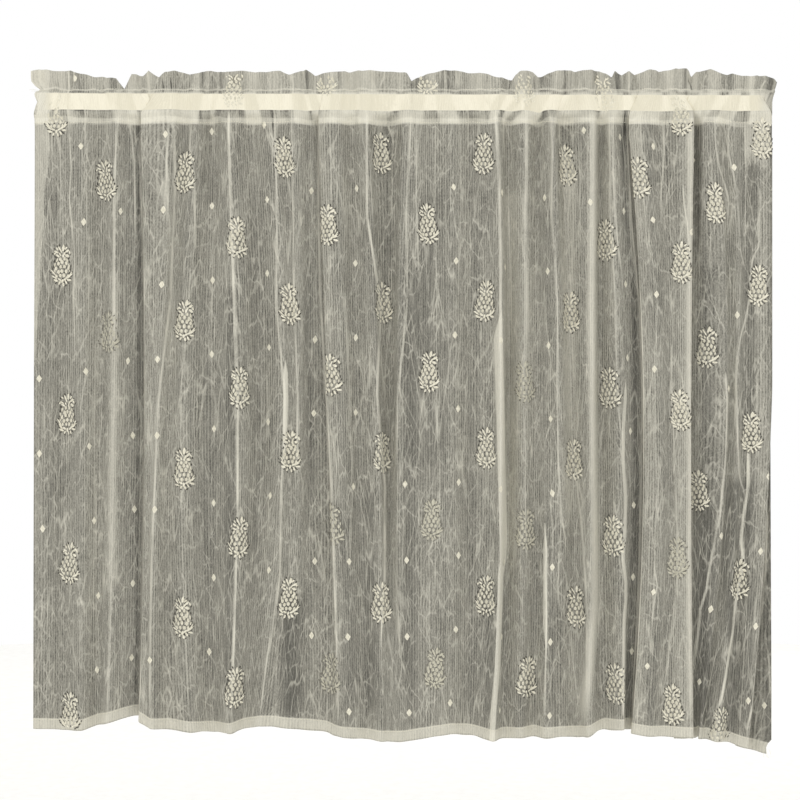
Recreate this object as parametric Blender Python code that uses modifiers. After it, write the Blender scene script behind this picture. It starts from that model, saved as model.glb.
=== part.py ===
"""Sheer lace valance gathered on a flat curtain rod.

One length of lace is turned over at the top into a heading frill and a rod
pocket, hangs in uneven soft folds and pleats, and ends in a narrow turned-up
hem. The origin is the middle of the rod. +X runs along the rod, +Z is up and
the room is at -Y.
"""

from typing import NamedTuple

import bmesh
import bpy
from mathutils import Matrix, Vector

MM = 0.001

# Rod, in millimetres
ROD_LENGTH = 826.0
ROD_HEIGHT = 19.5
ROD_THICKNESS = 5.0
ROD_EDGE_RADIUS = 0.8
ROD_EDGE_SEGMENTS = 2

# Lace, in millimetres. Heights are measured from the middle of the rod.
HUNG_WIDTH = 846.0
LEFT_EDGE = -HUNG_WIDTH / 2.0
LACE_THICKNESS = 1.0
HEM_THICKNESS = 1.6
DOUBLE_LAYER_GAP = 1.0
ROD_CLEARANCE = 2.0
POCKET_HALF_DEPTH = ROD_THICKNESS / 2.0 + ROD_CLEARANCE + LACE_THICKNESS / 2.0
HEADING_STITCH = 14.8
POCKET_ABOVE_ROD = 11.0
POCKET_BELOW_ROD = -12.0
POCKET_SEAM = -21.0
POCKET_TURNING = -26.0
HEM_BOTTOM = -729.0
HEM_DEPTH = 13.0
HEM_EDGE = 1.0
HEM_ROWS = 2

# Share of a fold's depth that is left where the lace is gathered on the rod
POCKET_FOLD_SHARE = 0.35
HEADING_FOLD_SHARE = 0.45
FOLD_START = -28.0
FOLD_FULL = -52.0
GATHER_EVENING = 4

# Heights at which the fold table gives its three plans
TOP_LEVEL = -38.0
MID_LEVEL = -342.0
LOW_LEVEL = -686.0

# Lower share of the drop over which the hem is lifted or let down
HEM_LIFT_FROM = 0.62

# Blank label that hangs from the right end of the pocket seam, behind the
# lace: distance of its left side from the edge, and how far out its top and
# its lower half hang, in millimetres
LABEL_LEFT = 814.0
LABEL_WIDTH = 29.0
LABEL_TOP = -29.0
LABEL_HEIGHT = 39.0
LABEL_THICKNESS = 1.0
LABEL_OUT_TOP = -6.0
LABEL_OUT_LOW = -15.0
LABEL_BOW = 1.0
LABEL_COLUMNS = 4
LABEL_ROWS = 8


class Fold(NamedTuple):
    """One ridge, valley or turn of the hanging lace.

    x is the distance from the left side edge at the three levels, out is how
    far it stands towards the room there, and drop is how far the hem hangs
    below the rod, all in millimetres.
    """

    x_top: float
    x_mid: float
    x_low: float
    out_top: float
    out_mid: float
    out_low: float
    drop: float


FOLDS = (
    # Left side edge, curled back at the top
    Fold(7.0, 1.5, 0.0, -7.0, -1.5, 0.0, 719.0),
    Fold(1.0, 6.0, 6.0, -3.0, -0.5, 0.5, 720.0),
    Fold(11.0, 14.0, 14.0, 1.0, -1.5, -0.5, 720.5),
    Fold(30.0, 30.0, 30.0, 1.0, -7.0, -6.0, 722.0),
    Fold(58.5, 56.0, 55.0, 5.0, 5.0, 4.0, 721.0),
    Fold(77.0, 73.5, 71.0, -2.0, -4.0, -5.0, 716.0),
    Fold(94.0, 93.0, 87.0, 9.0, 13.0, 12.0, 711.0),
    Fold(107.5, 105.5, 101.0, -2.0, 1.0, 1.0, 708.0),
    # First pleat, its right side lapped over the left
    Fold(120.5, 119.0, 113.5, -7.0, -8.0, -8.0, 706.0),
    Fold(136.0, 134.0, 129.0, -10.5, -11.5, -11.5, 706.0),
    Fold(144.5, 142.5, 137.0, -8.0, -8.5, -8.5, 706.0),
    Fold(136.0, 134.0, 127.5, -4.0, -4.0, -4.0, 708.0),
    Fold(128.5, 126.0, 118.0, 0.5, 1.0, 1.0, 711.0),
    Fold(136.5, 133.0, 125.0, 5.0, 6.0, 6.0, 715.0),
    # Broad left folds
    Fold(160.5, 143.5, 134.0, 9.0, 9.0, 9.0, 719.0),
    Fold(172.0, 155.0, 153.5, 0.0, -2.0, -4.0, 721.0),
    Fold(183.5, 167.5, 176.5, 6.0, 4.0, 6.0, 723.0),
    Fold(204.0, 199.5, 204.0, -8.0, -8.0, -8.0, 725.0),
    Fold(223.5, 234.0, 227.0, 12.0, 13.0, 12.0, 724.0),
    Fold(248.5, 259.0, 243.0, -6.0, -8.0, -1.0, 720.0),
    Fold(274.0, 287.5, 261.5, 5.0, 9.0, 8.0, 716.0),
    Fold(285.5, 294.5, 276.0, 2.0, 5.5, 2.0, 717.0),
    Fold(297.0, 302.5, 290.0, 9.0, 9.0, 3.0, 719.0),
    # Second pleat, which opens out towards the hem
    Fold(316.5, 315.0, 316.5, -5.0, -6.0, -6.0, 722.0),
    Fold(329.0, 337.0, 337.0, -9.5, -9.5, -8.0, 725.0),
    Fold(333.5, 342.5, 342.5, -6.0, -6.0, -3.0, 727.0),
    Fold(325.5, 335.0, 346.0, -1.0, -0.5, 2.0, 728.0),
    Fold(331.5, 340.5, 352.0, 4.0, 4.5, 6.0, 729.0),
    Fold(346.0, 352.0, 362.0, 8.0, 7.5, 4.0, 730.0),
    Fold(363.5, 370.0, 380.5, -5.0, -6.0, -6.0, 733.0),
    # Dark three-cornered recess, closed below the middle
    Fold(381.5, 394.0, 400.0, 9.0, 9.0, 5.0, 734.0),
    Fold(391.0, 400.0, 404.5, -4.0, -3.0, 2.0, 734.0),
    Fold(403.5, 405.5, 409.0, -10.0, -8.0, 1.0, 734.5),
    Fold(415.0, 411.5, 413.5, -4.0, -3.0, 2.0, 734.5),
    Fold(424.0, 417.0, 419.5, 8.0, 8.0, 4.0, 734.0),
    # Broad flat middle
    Fold(438.0, 434.5, 433.0, 4.0, 3.0, 1.0, 733.0),
    Fold(456.0, 458.5, 458.5, -4.0, -3.0, 5.0, 728.0),
    Fold(479.0, 479.0, 479.0, 3.0, 2.0, 0.0, 726.0),
    Fold(504.0, 502.0, 499.5, -6.0, -7.0, -8.0, 728.0),
    # Narrow pinched pleat right of the middle
    Fold(520.0, 526.0, 518.0, 3.0, 4.0, 4.0, 730.5),
    Fold(529.5, 534.0, 527.0, 9.0, 15.0, 14.0, 731.5),
    Fold(543.0, 544.5, 540.0, -6.0, -9.0, -7.0, 731.5),
    Fold(562.5, 560.5, 559.0, 10.0, 7.0, 1.0, 730.5),
    Fold(578.5, 577.5, 573.0, -7.0, -6.0, -7.0, 729.0),
    Fold(587.0, 588.0, 587.0, 2.0, 0.0, 10.0, 729.0),
    Fold(593.5, 600.5, 605.0, 9.0, 9.0, 0.0, 729.5),
    Fold(606.0, 617.5, 622.5, -8.0, -8.0, -6.0, 729.0),
    Fold(640.5, 638.5, 635.0, 10.0, 12.0, 11.0, 727.0),
    Fold(651.0, 650.0, 653.0, -5.0, -6.0, -7.0, 720.5),
    Fold(661.0, 669.5, 675.0, 8.0, 10.0, 9.0, 720.0),
    # Third pleat, its right side lapped over the left
    Fold(676.0, 687.5, 680.5, -6.0, -7.0, -7.0, 721.0),
    Fold(690.5, 703.5, 695.0, -10.5, -11.5, -11.0, 722.0),
    Fold(698.0, 711.0, 703.0, -8.0, -8.5, -8.0, 723.0),
    Fold(690.0, 704.5, 695.0, -4.0, -4.0, -4.0, 724.0),
    Fold(682.0, 698.0, 687.5, 0.5, 1.0, 1.0, 725.0),
    Fold(689.0, 705.0, 694.5, 5.5, 6.0, 5.5, 726.0),
    Fold(699.0, 716.0, 708.0, 8.5, 8.0, 7.0, 728.0),
    Fold(723.0, 730.5, 726.5, -3.0, 1.0, -1.0, 729.0),
    Fold(741.5, 741.5, 740.5, 4.0, 5.0, 4.0, 729.5),
    # Fourth pleat, its left side lapped over the right
    Fold(756.5, 753.0, 755.0, 5.0, 6.0, 5.0, 730.0),
    Fold(750.0, 746.5, 747.0, -0.5, 0.0, -0.5, 729.0),
    Fold(743.5, 738.5, 735.0, -4.5, -4.5, -5.0, 728.0),
    Fold(749.5, 745.5, 745.0, -9.0, -9.0, -9.5, 727.0),
    Fold(762.0, 760.0, 760.0, -7.0, -7.0, -6.0, 728.0),
    # Slanting folds of the right side
    Fold(768.0, 770.0, 763.5, 4.0, 0.0, -3.0, 729.0),
    Fold(781.5, 793.0, 768.0, 7.0, 8.0, 2.0, 730.5),
    Fold(788.5, 799.0, 776.0, 1.0, 1.0, -3.0, 731.5),
    Fold(800.0, 807.0, 786.0, 6.0, 7.0, 9.0, 733.5),
    Fold(815.0, 813.5, 801.0, -1.0, 1.0, -4.0, 736.5),
    Fold(828.5, 828.5, 813.5, 3.0, 3.0, 2.5, 740.0),
    # Right side, folded back behind itself and forward again
    Fold(844.5, 844.5, 824.0, 0.0, 0.0, 6.0, 742.0),
    Fold(838.0, 836.0, 817.0, -4.0, -4.0, -3.0, 741.0),
    Fold(832.5, 828.0, 810.0, -8.0, -8.0, -8.5, 738.0),
    Fold(836.5, 834.0, 819.5, -12.0, -12.5, -12.5, 739.0),
    Fold(843.5, 843.5, 844.5, -11.5, -11.5, -6.0, 746.0),
)


class HeadingPoint(NamedTuple):
    """Top edge of the heading frill: distance from the left edge and height."""

    x: float
    rise: float


HEADING = (
    HeadingPoint(-2.0, 36.0),
    HeadingPoint(42.0, 36.0),
    HeadingPoint(64.0, 31.0),
    HeadingPoint(94.0, 27.0),
    HeadingPoint(101.0, 18.0),
    HeadingPoint(111.0, 32.0),
    HeadingPoint(131.0, 35.0),
    HeadingPoint(144.0, 29.0),
    HeadingPoint(162.0, 36.0),
    HeadingPoint(179.0, 33.0),
    HeadingPoint(202.0, 36.0),
    HeadingPoint(219.0, 34.0),
    HeadingPoint(242.0, 36.0),
    HeadingPoint(266.0, 34.0),
    HeadingPoint(282.0, 36.0),
    HeadingPoint(293.0, 31.0),
    HeadingPoint(311.0, 38.0),
    HeadingPoint(322.0, 31.0),
    HeadingPoint(339.0, 34.0),
    HeadingPoint(392.0, 37.0),
    HeadingPoint(425.0, 33.0),
    HeadingPoint(432.0, 24.0),
    HeadingPoint(451.0, 33.0),
    HeadingPoint(471.0, 37.0),
    HeadingPoint(511.0, 33.0),
    HeadingPoint(548.0, 26.0),
    HeadingPoint(564.0, 36.0),
    HeadingPoint(578.0, 30.0),
    HeadingPoint(598.0, 36.0),
    HeadingPoint(649.0, 36.0),
    HeadingPoint(662.0, 29.0),
    HeadingPoint(683.0, 36.0),
    HeadingPoint(708.0, 37.0),
    HeadingPoint(749.0, 38.0),
    HeadingPoint(755.0, 30.0),
    HeadingPoint(776.0, 37.0),
    HeadingPoint(795.0, 31.0),
    HeadingPoint(843.0, 30.0),
    HeadingPoint(854.0, 26.0),
)
HEADING_FLARE_LEFT = 4.0
HEADING_FLARE_RIGHT = 7.0
HEADING_FLARE_REACH = 40.0

# Spans between folds that are longer than the first value take an extra
# column, and none counts as shorter than the second in the smooth curve
LONG_SPAN = 14.0
SHORTEST_SPAN = 0.5

# Shares of the drop at which the hanging lace has a row of points
DROP_ROWS = (0.021, 0.032, 0.044, 0.11, 0.23, 0.37, 0.51, 0.65, 0.79, 0.91)


def mix(a, b, share):
    """Blend from a to b."""
    return a + (b - a) * share


def smooth_step(low, high, value):
    """Ease from 0 at low to 1 at high."""
    share = min(1.0, max(0.0, (value - low) / (high - low)))
    return share * share * (3.0 - 2.0 * share)


def quadratic(top, mid, low, share):
    """Curve through three values at shares 0, the middle level's and 1."""
    middle = (TOP_LEVEL - MID_LEVEL) / (TOP_LEVEL - LOW_LEVEL)
    top_part = top * (share - middle) * (share - 1.0) / middle
    mid_part = mid * share * (share - 1.0) / (middle * (middle - 1.0))
    low_part = low * share * (share - middle) / (1.0 - middle)
    return top_part + mid_part + low_part


def eased(top, mid, low, share):
    """Ease from the top value to the middle one and on to the low one."""
    middle = (TOP_LEVEL - MID_LEVEL) / (TOP_LEVEL - LOW_LEVEL)
    if share < middle:
        return mix(top, mid, smooth_step(0.0, middle, share))
    return mix(mid, low, smooth_step(middle, 1.0, share))


def gathered_positions():
    """Where each fold sits along the rod, with its laps opened out."""
    places = sorted(fold.x_top for fold in FOLDS)
    for _ in range(GATHER_EVENING):
        inner = [
            (before + here + after) / 3.0
            for before, here, after in zip(places, places[1:], places[2:])
        ]
        places = [places[0], *inner, places[-1]]
    return places


GATHERED = gathered_positions()


def plan_at(height):
    """Fold points seen from above at a height, in x from the edge and out."""
    share = max(0.0, (TOP_LEVEL - height) / (TOP_LEVEL - LOW_LEVEL))
    opened = smooth_step(-FOLD_START, -FOLD_FULL, -height)
    points = []
    for fold, gathered in zip(FOLDS, GATHERED):
        x = quadratic(fold.x_top, fold.x_mid, fold.x_low, share)
        out = eased(fold.out_top, fold.out_mid, fold.out_low, share)
        shown = mix(POCKET_FOLD_SHARE, 1.0, opened)
        points.append(Vector((mix(gathered, x, opened), out * shown)))
    return points


def spline_tangents(points):
    """Tangents of a smooth curve through the points, weighted by spacing."""
    spans = [max((b - a).length, SHORTEST_SPAN) for a, b in zip(points, points[1:])]
    slopes = [(b - a) / span for a, b, span in zip(points, points[1:], spans)]
    tangents = [slopes[0]]
    for index in range(1, len(points) - 1):
        near = spans[index - 1]
        far = spans[index]
        blended = (slopes[index - 1] * far + slopes[index] * near) / (near + far)
        tangents.append(blended)
    tangents.append(slopes[-1])
    return spans, tangents


def spline_point(points, position):
    """Point on the curve; the whole part of position counts the folds."""
    spans, tangents = spline_tangents(points)
    index = min(int(position), len(points) - 2)
    t = position - index
    start = points[index]
    end = points[index + 1]
    leave = tangents[index] * spans[index]
    arrive = tangents[index + 1] * spans[index]
    square = t * t
    cube = square * t
    return (
        start * (2.0 * cube - 3.0 * square + 1.0)
        + leave * (cube - 2.0 * square + t)
        + end * (3.0 * square - 2.0 * cube)
        + arrive * (cube - square)
    )


def column_positions():
    """Places along the fold table that take a column of points."""
    positions = []
    for index, (first, second) in enumerate(zip(FOLDS, FOLDS[1:])):
        positions.append(float(index))
        span = max(
            abs(second.x_top - first.x_top),
            abs(second.x_mid - first.x_mid),
            abs(second.x_low - first.x_low),
        )
        if span > LONG_SPAN:
            positions.append(index + 0.5)
    positions.append(float(len(FOLDS) - 1))
    return positions


def heading_rise(x):
    """Height of the heading's top edge at a distance from the left edge."""
    for start, end in zip(HEADING, HEADING[1:]):
        if x <= end.x:
            share = max(0.0, (x - start.x) / (end.x - start.x))
            return mix(start.rise, end.rise, share)
    return HEADING[-1].rise


def heading_flare(x, height):
    """Sideways spread of the frill's two ends above the stitching."""
    above = smooth_step(HEADING_STITCH, HEADING[0].rise, height)
    left = max(0.0, 1.0 - x / HEADING_FLARE_REACH)
    right = max(0.0, 1.0 - (HUNG_WIDTH - x) / HEADING_FLARE_REACH)
    return above * (HEADING_FLARE_RIGHT * right - HEADING_FLARE_LEFT * left)


def to_world(x, out, height):
    """Point in metres from x off the left edge, out to the room and height."""
    return Vector((LEFT_EDGE + x, -out, height)) * MM


def drop_at(position, share):
    """Height of the lace at a share of its drop, lifted as its hem is."""
    index = min(int(position), len(FOLDS) - 2)
    along = position - index
    drop = mix(FOLDS[index].drop, FOLDS[index + 1].drop, along)
    plain = mix(POCKET_SEAM, HEM_BOTTOM, share)
    lift = -HEM_BOTTOM - drop
    return plain + lift * smooth_step(HEM_LIFT_FROM, 1.0, share)


def gathered_point(position, height, side, half_gap, around_rod):
    """Point of the heading or pocket on the front (1) or back (-1) layer."""
    flat = spline_point(plan_at(POCKET_SEAM), position)
    fold_share = mix(
        1.0,
        HEADING_FOLD_SHARE / POCKET_FOLD_SHARE,
        smooth_step(HEADING_STITCH, HEADING[0].rise, height),
    )
    out = flat.y * fold_share
    pressed = max(0.0, out * side) * side
    out = mix(out, pressed, around_rod)
    x = flat.x + heading_flare(flat.x, height)
    return to_world(x, out + side * half_gap, height)


def pocket_and_heading(position):
    """Column of points from the turning behind the rod, over, to the seam."""
    x = spline_point(plan_at(POCKET_SEAM), position).x
    top = heading_rise(x)
    thin = DOUBLE_LAYER_GAP
    deep = POCKET_HALF_DEPTH
    back = (
        (POCKET_TURNING, thin, 0.0),
        (POCKET_BELOW_ROD, deep, 1.0),
        (POCKET_ABOVE_ROD, deep, 1.0),
        (HEADING_STITCH, thin, 0.0),
        (top, thin, 0.0),
    )
    front = (
        (top, thin, 0.0),
        (HEADING_STITCH, thin, 0.0),
        (POCKET_ABOVE_ROD, deep, 1.0),
        (POCKET_BELOW_ROD, deep, 1.0),
        (POCKET_SEAM, thin, 0.0),
        (FOLD_START, thin, 0.0),
    )
    column = [gathered_point(position, z, -1, gap, rod) for z, gap, rod in back]
    column += [gathered_point(position, z, 1, gap, rod) for z, gap, rod in front]
    return column


def hanging_point(position, share):
    """Point of the hanging lace at a share of its drop."""
    return raised_point(position, drop_at(position, share))


def raised_point(position, height):
    """Point of the hanging lace at a height."""
    flat = spline_point(plan_at(height), position)
    return to_world(flat.x, flat.y + DOUBLE_LAYER_GAP, height)


def hanging_lace(position):
    """Column of points from below the pocket to the turned-up hem."""
    column = [hanging_point(position, share) for share in DROP_ROWS]
    bottom = drop_at(position, 1.0)
    column.append(raised_point(position, bottom + HEM_DEPTH + HEM_EDGE))
    column.append(raised_point(position, bottom + HEM_DEPTH))
    column.append(raised_point(position, bottom))
    return column


def fabric_material(name, colour, roughness):
    """Plain woven finish."""
    material = bpy.data.materials.new(name)
    material.use_nodes = True
    shader = material.node_tree.nodes["Principled BSDF"]
    shader.inputs["Base Color"].default_value = (*colour, 1.0)
    shader.inputs["Roughness"].default_value = roughness
    shader.inputs["Metallic"].default_value = 0.0
    return material


def sheet_object(name, columns, thickness, material, collection):
    """Loft a sheet through columns of points and give it a thickness."""
    mesh_data = bpy.data.meshes.new(name)
    mesh = bmesh.new()
    grid = [[mesh.verts.new(point) for point in column] for column in columns]
    for left, right in zip(grid, grid[1:]):
        for row in range(len(left) - 1):
            mesh.faces.new((left[row], right[row], right[row + 1], left[row + 1]))
    mesh.to_mesh(mesh_data)
    mesh.free()
    sheet = bpy.data.objects.new(name, mesh_data)
    collection.objects.link(sheet)
    mesh_data.materials.append(material)
    solidify = sheet.modifiers.new("Thickness", "SOLIDIFY")
    solidify.thickness = thickness
    solidify.offset = 0.0
    solidify.use_even_offset = True
    mesh_data.shade_smooth()
    return sheet


def thicken_hem(sheet, rows_in_column):
    """Make the lowest rows of the sheet as thick as its turned-up hem."""
    hem = sheet.vertex_groups.new(name="hem")
    count = len(sheet.data.vertices)
    rows = [i for i in range(count) if i % rows_in_column >= rows_in_column - HEM_ROWS]
    hem.add(rows, 1.0, "REPLACE")
    solidify = sheet.modifiers["Thickness"]
    solidify.thickness = HEM_THICKNESS * MM
    solidify.vertex_group = hem.name
    solidify.thickness_vertex_group = LACE_THICKNESS / HEM_THICKNESS


def build_lace_panel(collection):
    """Heading frill, rod pocket, hanging folds and hem in one sheet."""
    material = fabric_material("ecru_lace", (0.62, 0.59, 0.48), 0.85)
    columns = []
    for position in column_positions():
        columns.append(pocket_and_heading(position) + hanging_lace(position))
    panel = sheet_object("lace_panel", columns, LACE_THICKNESS * MM, material, collection)
    thicken_hem(panel, len(columns[0]))
    return panel


def build_curtain_rod(collection):
    """Flat bar with eased edges that fills the pocket."""
    bpy.ops.mesh.primitive_cube_add(size=1.0)
    rod = bpy.context.active_object
    rod.name = "curtain_rod"
    rod.data.name = "curtain_rod"
    size = Vector((ROD_LENGTH, ROD_THICKNESS, ROD_HEIGHT)) * MM
    rod.data.transform(Matrix.Diagonal((*size, 1.0)))
    for owner in list(rod.users_collection):
        owner.objects.unlink(rod)
    collection.objects.link(rod)
    rod.data.materials.append(fabric_material("cream_enamel", (0.84, 0.81, 0.70), 0.4))
    bevel = rod.modifiers.new("Eased edges", "BEVEL")
    bevel.width = ROD_EDGE_RADIUS * MM
    bevel.segments = ROD_EDGE_SEGMENTS
    return rod


def label_point(across, down):
    """Point of the label at shares of its width and height."""
    height = LABEL_TOP - LABEL_HEIGHT * down
    out = mix(LABEL_OUT_TOP, LABEL_OUT_LOW, smooth_step(-FOLD_START, -FOLD_FULL, -height))
    bow = LABEL_BOW * 4.0 * across * (1.0 - across)
    return to_world(LABEL_LEFT + LABEL_WIDTH * across, out + bow * down, height)


def build_blank_label(collection):
    """Small bare label that hangs behind the lace from the pocket seam."""
    columns = []
    for step in range(LABEL_COLUMNS + 1):
        across = step / LABEL_COLUMNS
        columns.append([label_point(across, row / LABEL_ROWS) for row in range(LABEL_ROWS + 1)])
    material = fabric_material("white_label_tape", (0.80, 0.79, 0.72), 0.6)
    return sheet_object("blank_label", columns, LABEL_THICKNESS * MM, material, collection)


def clear_scene():
    """Remove every object that the scene starts with."""
    for item in list(bpy.data.objects):
        bpy.data.objects.remove(item, do_unlink=True)


def main():
    """Build the valance on its rod."""
    clear_scene()
    collection = bpy.data.collections.new("lace_valance_on_flat_rod")
    bpy.context.scene.collection.children.link(collection)
    build_curtain_rod(collection)
    build_lace_panel(collection)
    build_blank_label(collection)


main()
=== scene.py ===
"""Looks of a sheer lace valance gathered on a flat curtain rod.

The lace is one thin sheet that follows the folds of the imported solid, with its
creases, crinkles, knitted net and hem. Its pineapples and dots are raised
clothwork laid into the net. Tables are in millimetres: x runs from the left
edge of the lace, height is measured from the middle of the rod, and out is
towards the room, which is -Y.
"""

import logging
import math
from dataclasses import dataclass
from dataclasses import field
from enum import Enum
from typing import Any
from typing import NamedTuple

import bpy
import numpy as np
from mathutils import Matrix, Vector

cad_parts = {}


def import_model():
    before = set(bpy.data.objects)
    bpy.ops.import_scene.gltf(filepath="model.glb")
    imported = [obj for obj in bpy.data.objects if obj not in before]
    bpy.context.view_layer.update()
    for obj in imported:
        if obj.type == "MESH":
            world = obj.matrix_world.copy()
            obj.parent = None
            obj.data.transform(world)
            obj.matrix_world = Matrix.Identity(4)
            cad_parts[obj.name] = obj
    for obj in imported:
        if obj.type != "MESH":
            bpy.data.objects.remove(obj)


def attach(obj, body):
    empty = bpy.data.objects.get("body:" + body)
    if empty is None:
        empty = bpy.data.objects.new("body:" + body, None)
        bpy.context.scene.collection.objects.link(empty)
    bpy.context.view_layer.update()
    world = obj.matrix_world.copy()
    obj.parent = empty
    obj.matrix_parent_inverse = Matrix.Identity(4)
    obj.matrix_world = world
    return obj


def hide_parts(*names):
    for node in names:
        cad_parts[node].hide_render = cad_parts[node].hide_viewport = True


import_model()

MM = 0.001
Array = np.ndarray
Piece = bpy.types.Object
Tree = bpy.types.NodeTree
Socket = bpy.types.NodeSocket
SMOOTH = {"interpolation_type": "SMOOTHSTEP"}
log = logging.getLogger("lace_valance")


class Side(Enum):
    """Face of the lace: towards the room or towards the wall."""

    ROOM = 1
    WALL = -1


class Crease(NamedTuple):
    """One listed crease.

    layers is how many layers of net it adds to the look of the lace; where it is
    negative it takes layers away in a hollow and paints the shade that falls in
    the hollows and gaps beside folds. route is its (x, drop below the rod) from
    top to hem.
    """

    layers: float
    half_width: float
    route: tuple[tuple[float, float], ...]


class Pleat(NamedTuple):
    """One narrow pleat with sharp sides.

    layers is how many layers of net it adds, and route is its (x, drop below
    the rod, half width) from top to hem; it runs to a point where the half
    width falls below nought.
    """

    layers: float
    route: tuple[tuple[float, float, float], ...]


class MotifColumn(NamedTuple):
    """One column of pineapples: its x at three levels, first height, pitch.

    shown has a letter for each pineapple downwards: o for one that shows, f for
    one that lies faint under another layer, and x for one inside a pleat.
    """

    x_top: float
    x_mid: float
    x_low: float
    first: float
    pitch: float
    shown: str


class DotColumn(NamedTuple):
    """One column of dots: first drop, pitch and the x of each.

    An x of nought stands for a dot inside a pleat.
    """

    drop: float
    pitch: float
    places: tuple[float, ...]


class Pad(NamedTuple):
    """One pad of clothwork in a motif; tilt is degrees from upright."""

    across: float
    up: float
    length: float
    width: float
    tilt: float


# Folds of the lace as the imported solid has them, left to right: x at the top,
# middle and low levels, how far out each stands there, and its drop to the hem
FOLDS: tuple[tuple[float, ...], ...] = (
    # Left side edge, curled back at the top
    (9, 4, 2, -7, -2.5, -1, 719),
    (-0.7, -0.9, -1.2, -3, -1, 0, 720),
    (11, 14, 14, 1, -1.5, -0.5, 720.5),
    (30, 30, 30, 1, -7, -6, 722),
    (58.5, 56, 55, 5, 5, 4, 721),
    (77, 73.5, 71, -2, -4, -5, 716),
    (94, 93, 87, 9, 13, 12, 711),
    (107.5, 105.5, 101, -2, 1, 1, 708),
    # First pleat, its right side lapped over the left
    (120.5, 119, 113.5, -7, -8, -8, 706),
    (136, 134, 129, -10.5, -11.5, -11.5, 706),
    (144.5, 142.5, 137, -8, -8.5, -8.5, 706),
    (131, 134, 128, -4, -4, -4, 708),
    (121.5, 126, 120, 0.5, 1, 1, 711),
    (131, 133, 127.5, 5, 6, 6, 715),
    # Broad left folds
    (160.5, 143.5, 134, 9, 9, 9, 719),
    (172, 155, 153.5, 0, -2, -4, 721),
    (183.5, 167.5, 176.5, 6, 4, 6, 723),
    (204, 199.5, 204, -8, -8, -8, 725),
    (223.5, 234, 227, 12, 13, 12, 724),
    (248.5, 259, 243, -6, -8, -1, 720),
    (274, 287.5, 261.5, 5, 9, 8, 716),
    (285.5, 294.5, 276, 2, 5.5, 2, 717),
    (297, 302.5, 290, 9, 9, 3, 719),
    # Second pleat, which opens out towards the hem
    (316.5, 315, 316.5, -5, -6, -6, 722),
    (329, 337, 337, -9.5, -9.5, -8, 725),
    (333.5, 342.5, 342.5, -6, -6, -3, 727),
    (325.5, 335, 346, -1, -0.5, 2, 728),
    (331.5, 340.5, 352, 4, 4.5, 6, 729),
    (346, 352, 362, 8, 7.5, 4, 730),
    (363.5, 370, 380.5, -5, -6, -6, 733),
    # Dark three-cornered recess, closed below the middle
    (381.5, 394, 400, 9, 9, 5, 734),
    (391, 400, 404.5, -4, -3, 2, 734),
    (403.5, 405.5, 409, -10, -8, 1, 734.5),
    (415, 411.5, 413.5, -4, -3, 2, 734.5),
    (424, 417, 419.5, 8, 8, 4, 734),
    # Broad flat middle
    (438, 434.5, 433, 4, 3, 1, 733),
    (456, 458.5, 458.5, -4, -3, 5, 728),
    (479, 479, 479, 3, 2, 0, 726),
    (504, 502, 499.5, -6, -7, -8, 728),
    # Narrow pinched pleat right of the middle
    (520, 526, 518, 3, 4, 4, 730.5),
    (529.5, 534, 527, 9, 15, 14, 731.5),
    (543, 544.5, 540, -6, -9, -7, 731.5),
    (562.5, 560.5, 559, 10, 7, 1, 730.5),
    (578.5, 577.5, 573, -7, -6, -7, 729),
    (587, 588, 587, 2, 0, 10, 729),
    (593.5, 600.5, 605, 9, 9, 0, 729.5),
    (606, 617.5, 622.5, -8, -8, -6, 730),
    (640.5, 638.5, 635, 10, 12, 11, 727),
    (651, 650, 653, -5, -6, -7, 721.5),
    (661, 669.5, 675, 8, 10, 9, 720),
    # Third pleat, its right side lapped over the left
    (676, 687.5, 680.5, -6, -7, -7, 721),
    (690.5, 703.5, 695, -10.5, -11.5, -11, 722),
    (698, 711, 703, -8, -8.5, -8, 723),
    (690, 704.5, 695, -4, -4, -4, 724),
    (682, 698, 687.5, 0.5, 1, 1, 725),
    (689, 705, 694.5, 5.5, 6, 5.5, 726),
    (699, 716, 708, 8.5, 8, 7, 728),
    (723, 730.5, 726.5, -3, 1, -1, 729),
    (741.5, 741.5, 740.5, 4, 5, 4, 729.5),
    # Fourth pleat, its left side lapped over the right
    (756.5, 753, 755, 5, 6, 5, 730),
    (750, 746.5, 747, -0.5, 0, -0.5, 729),
    (743.5, 738.5, 735, -4.5, -4.5, -5, 732),
    (749.5, 745.5, 745, -9, -9, -9.5, 732.5),
    (762, 760, 760, -7, -7, -6, 731.5),
    # Slanting folds of the right side
    (768, 770, 763.5, 4, 0, -3, 729),
    (781.5, 793, 768, 7, 8, 2, 730.5),
    (788.5, 799, 776, 1, 1, -3, 731.5),
    (800, 807, 786, 6, 7, 9, 733.5),
    (815, 813.5, 801, -1, 1, -4, 736.5),
    (828.5, 828.5, 813.5, 3, 3, 2.5, 740),
    # Right side, folded back behind itself and forward again
    (845.5, 846, 824, 0, 0, 6, 742),
    (838, 836, 817, -4, -4, -3, 741),
    (832.5, 828, 810, -8, -8, -8.5, 739.5),
    (836.5, 834, 819.5, -12, -12.5, -12.5, 744),
    (846, 846.5, 848, -11.5, -11.5, -6, 749.5),
)

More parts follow.
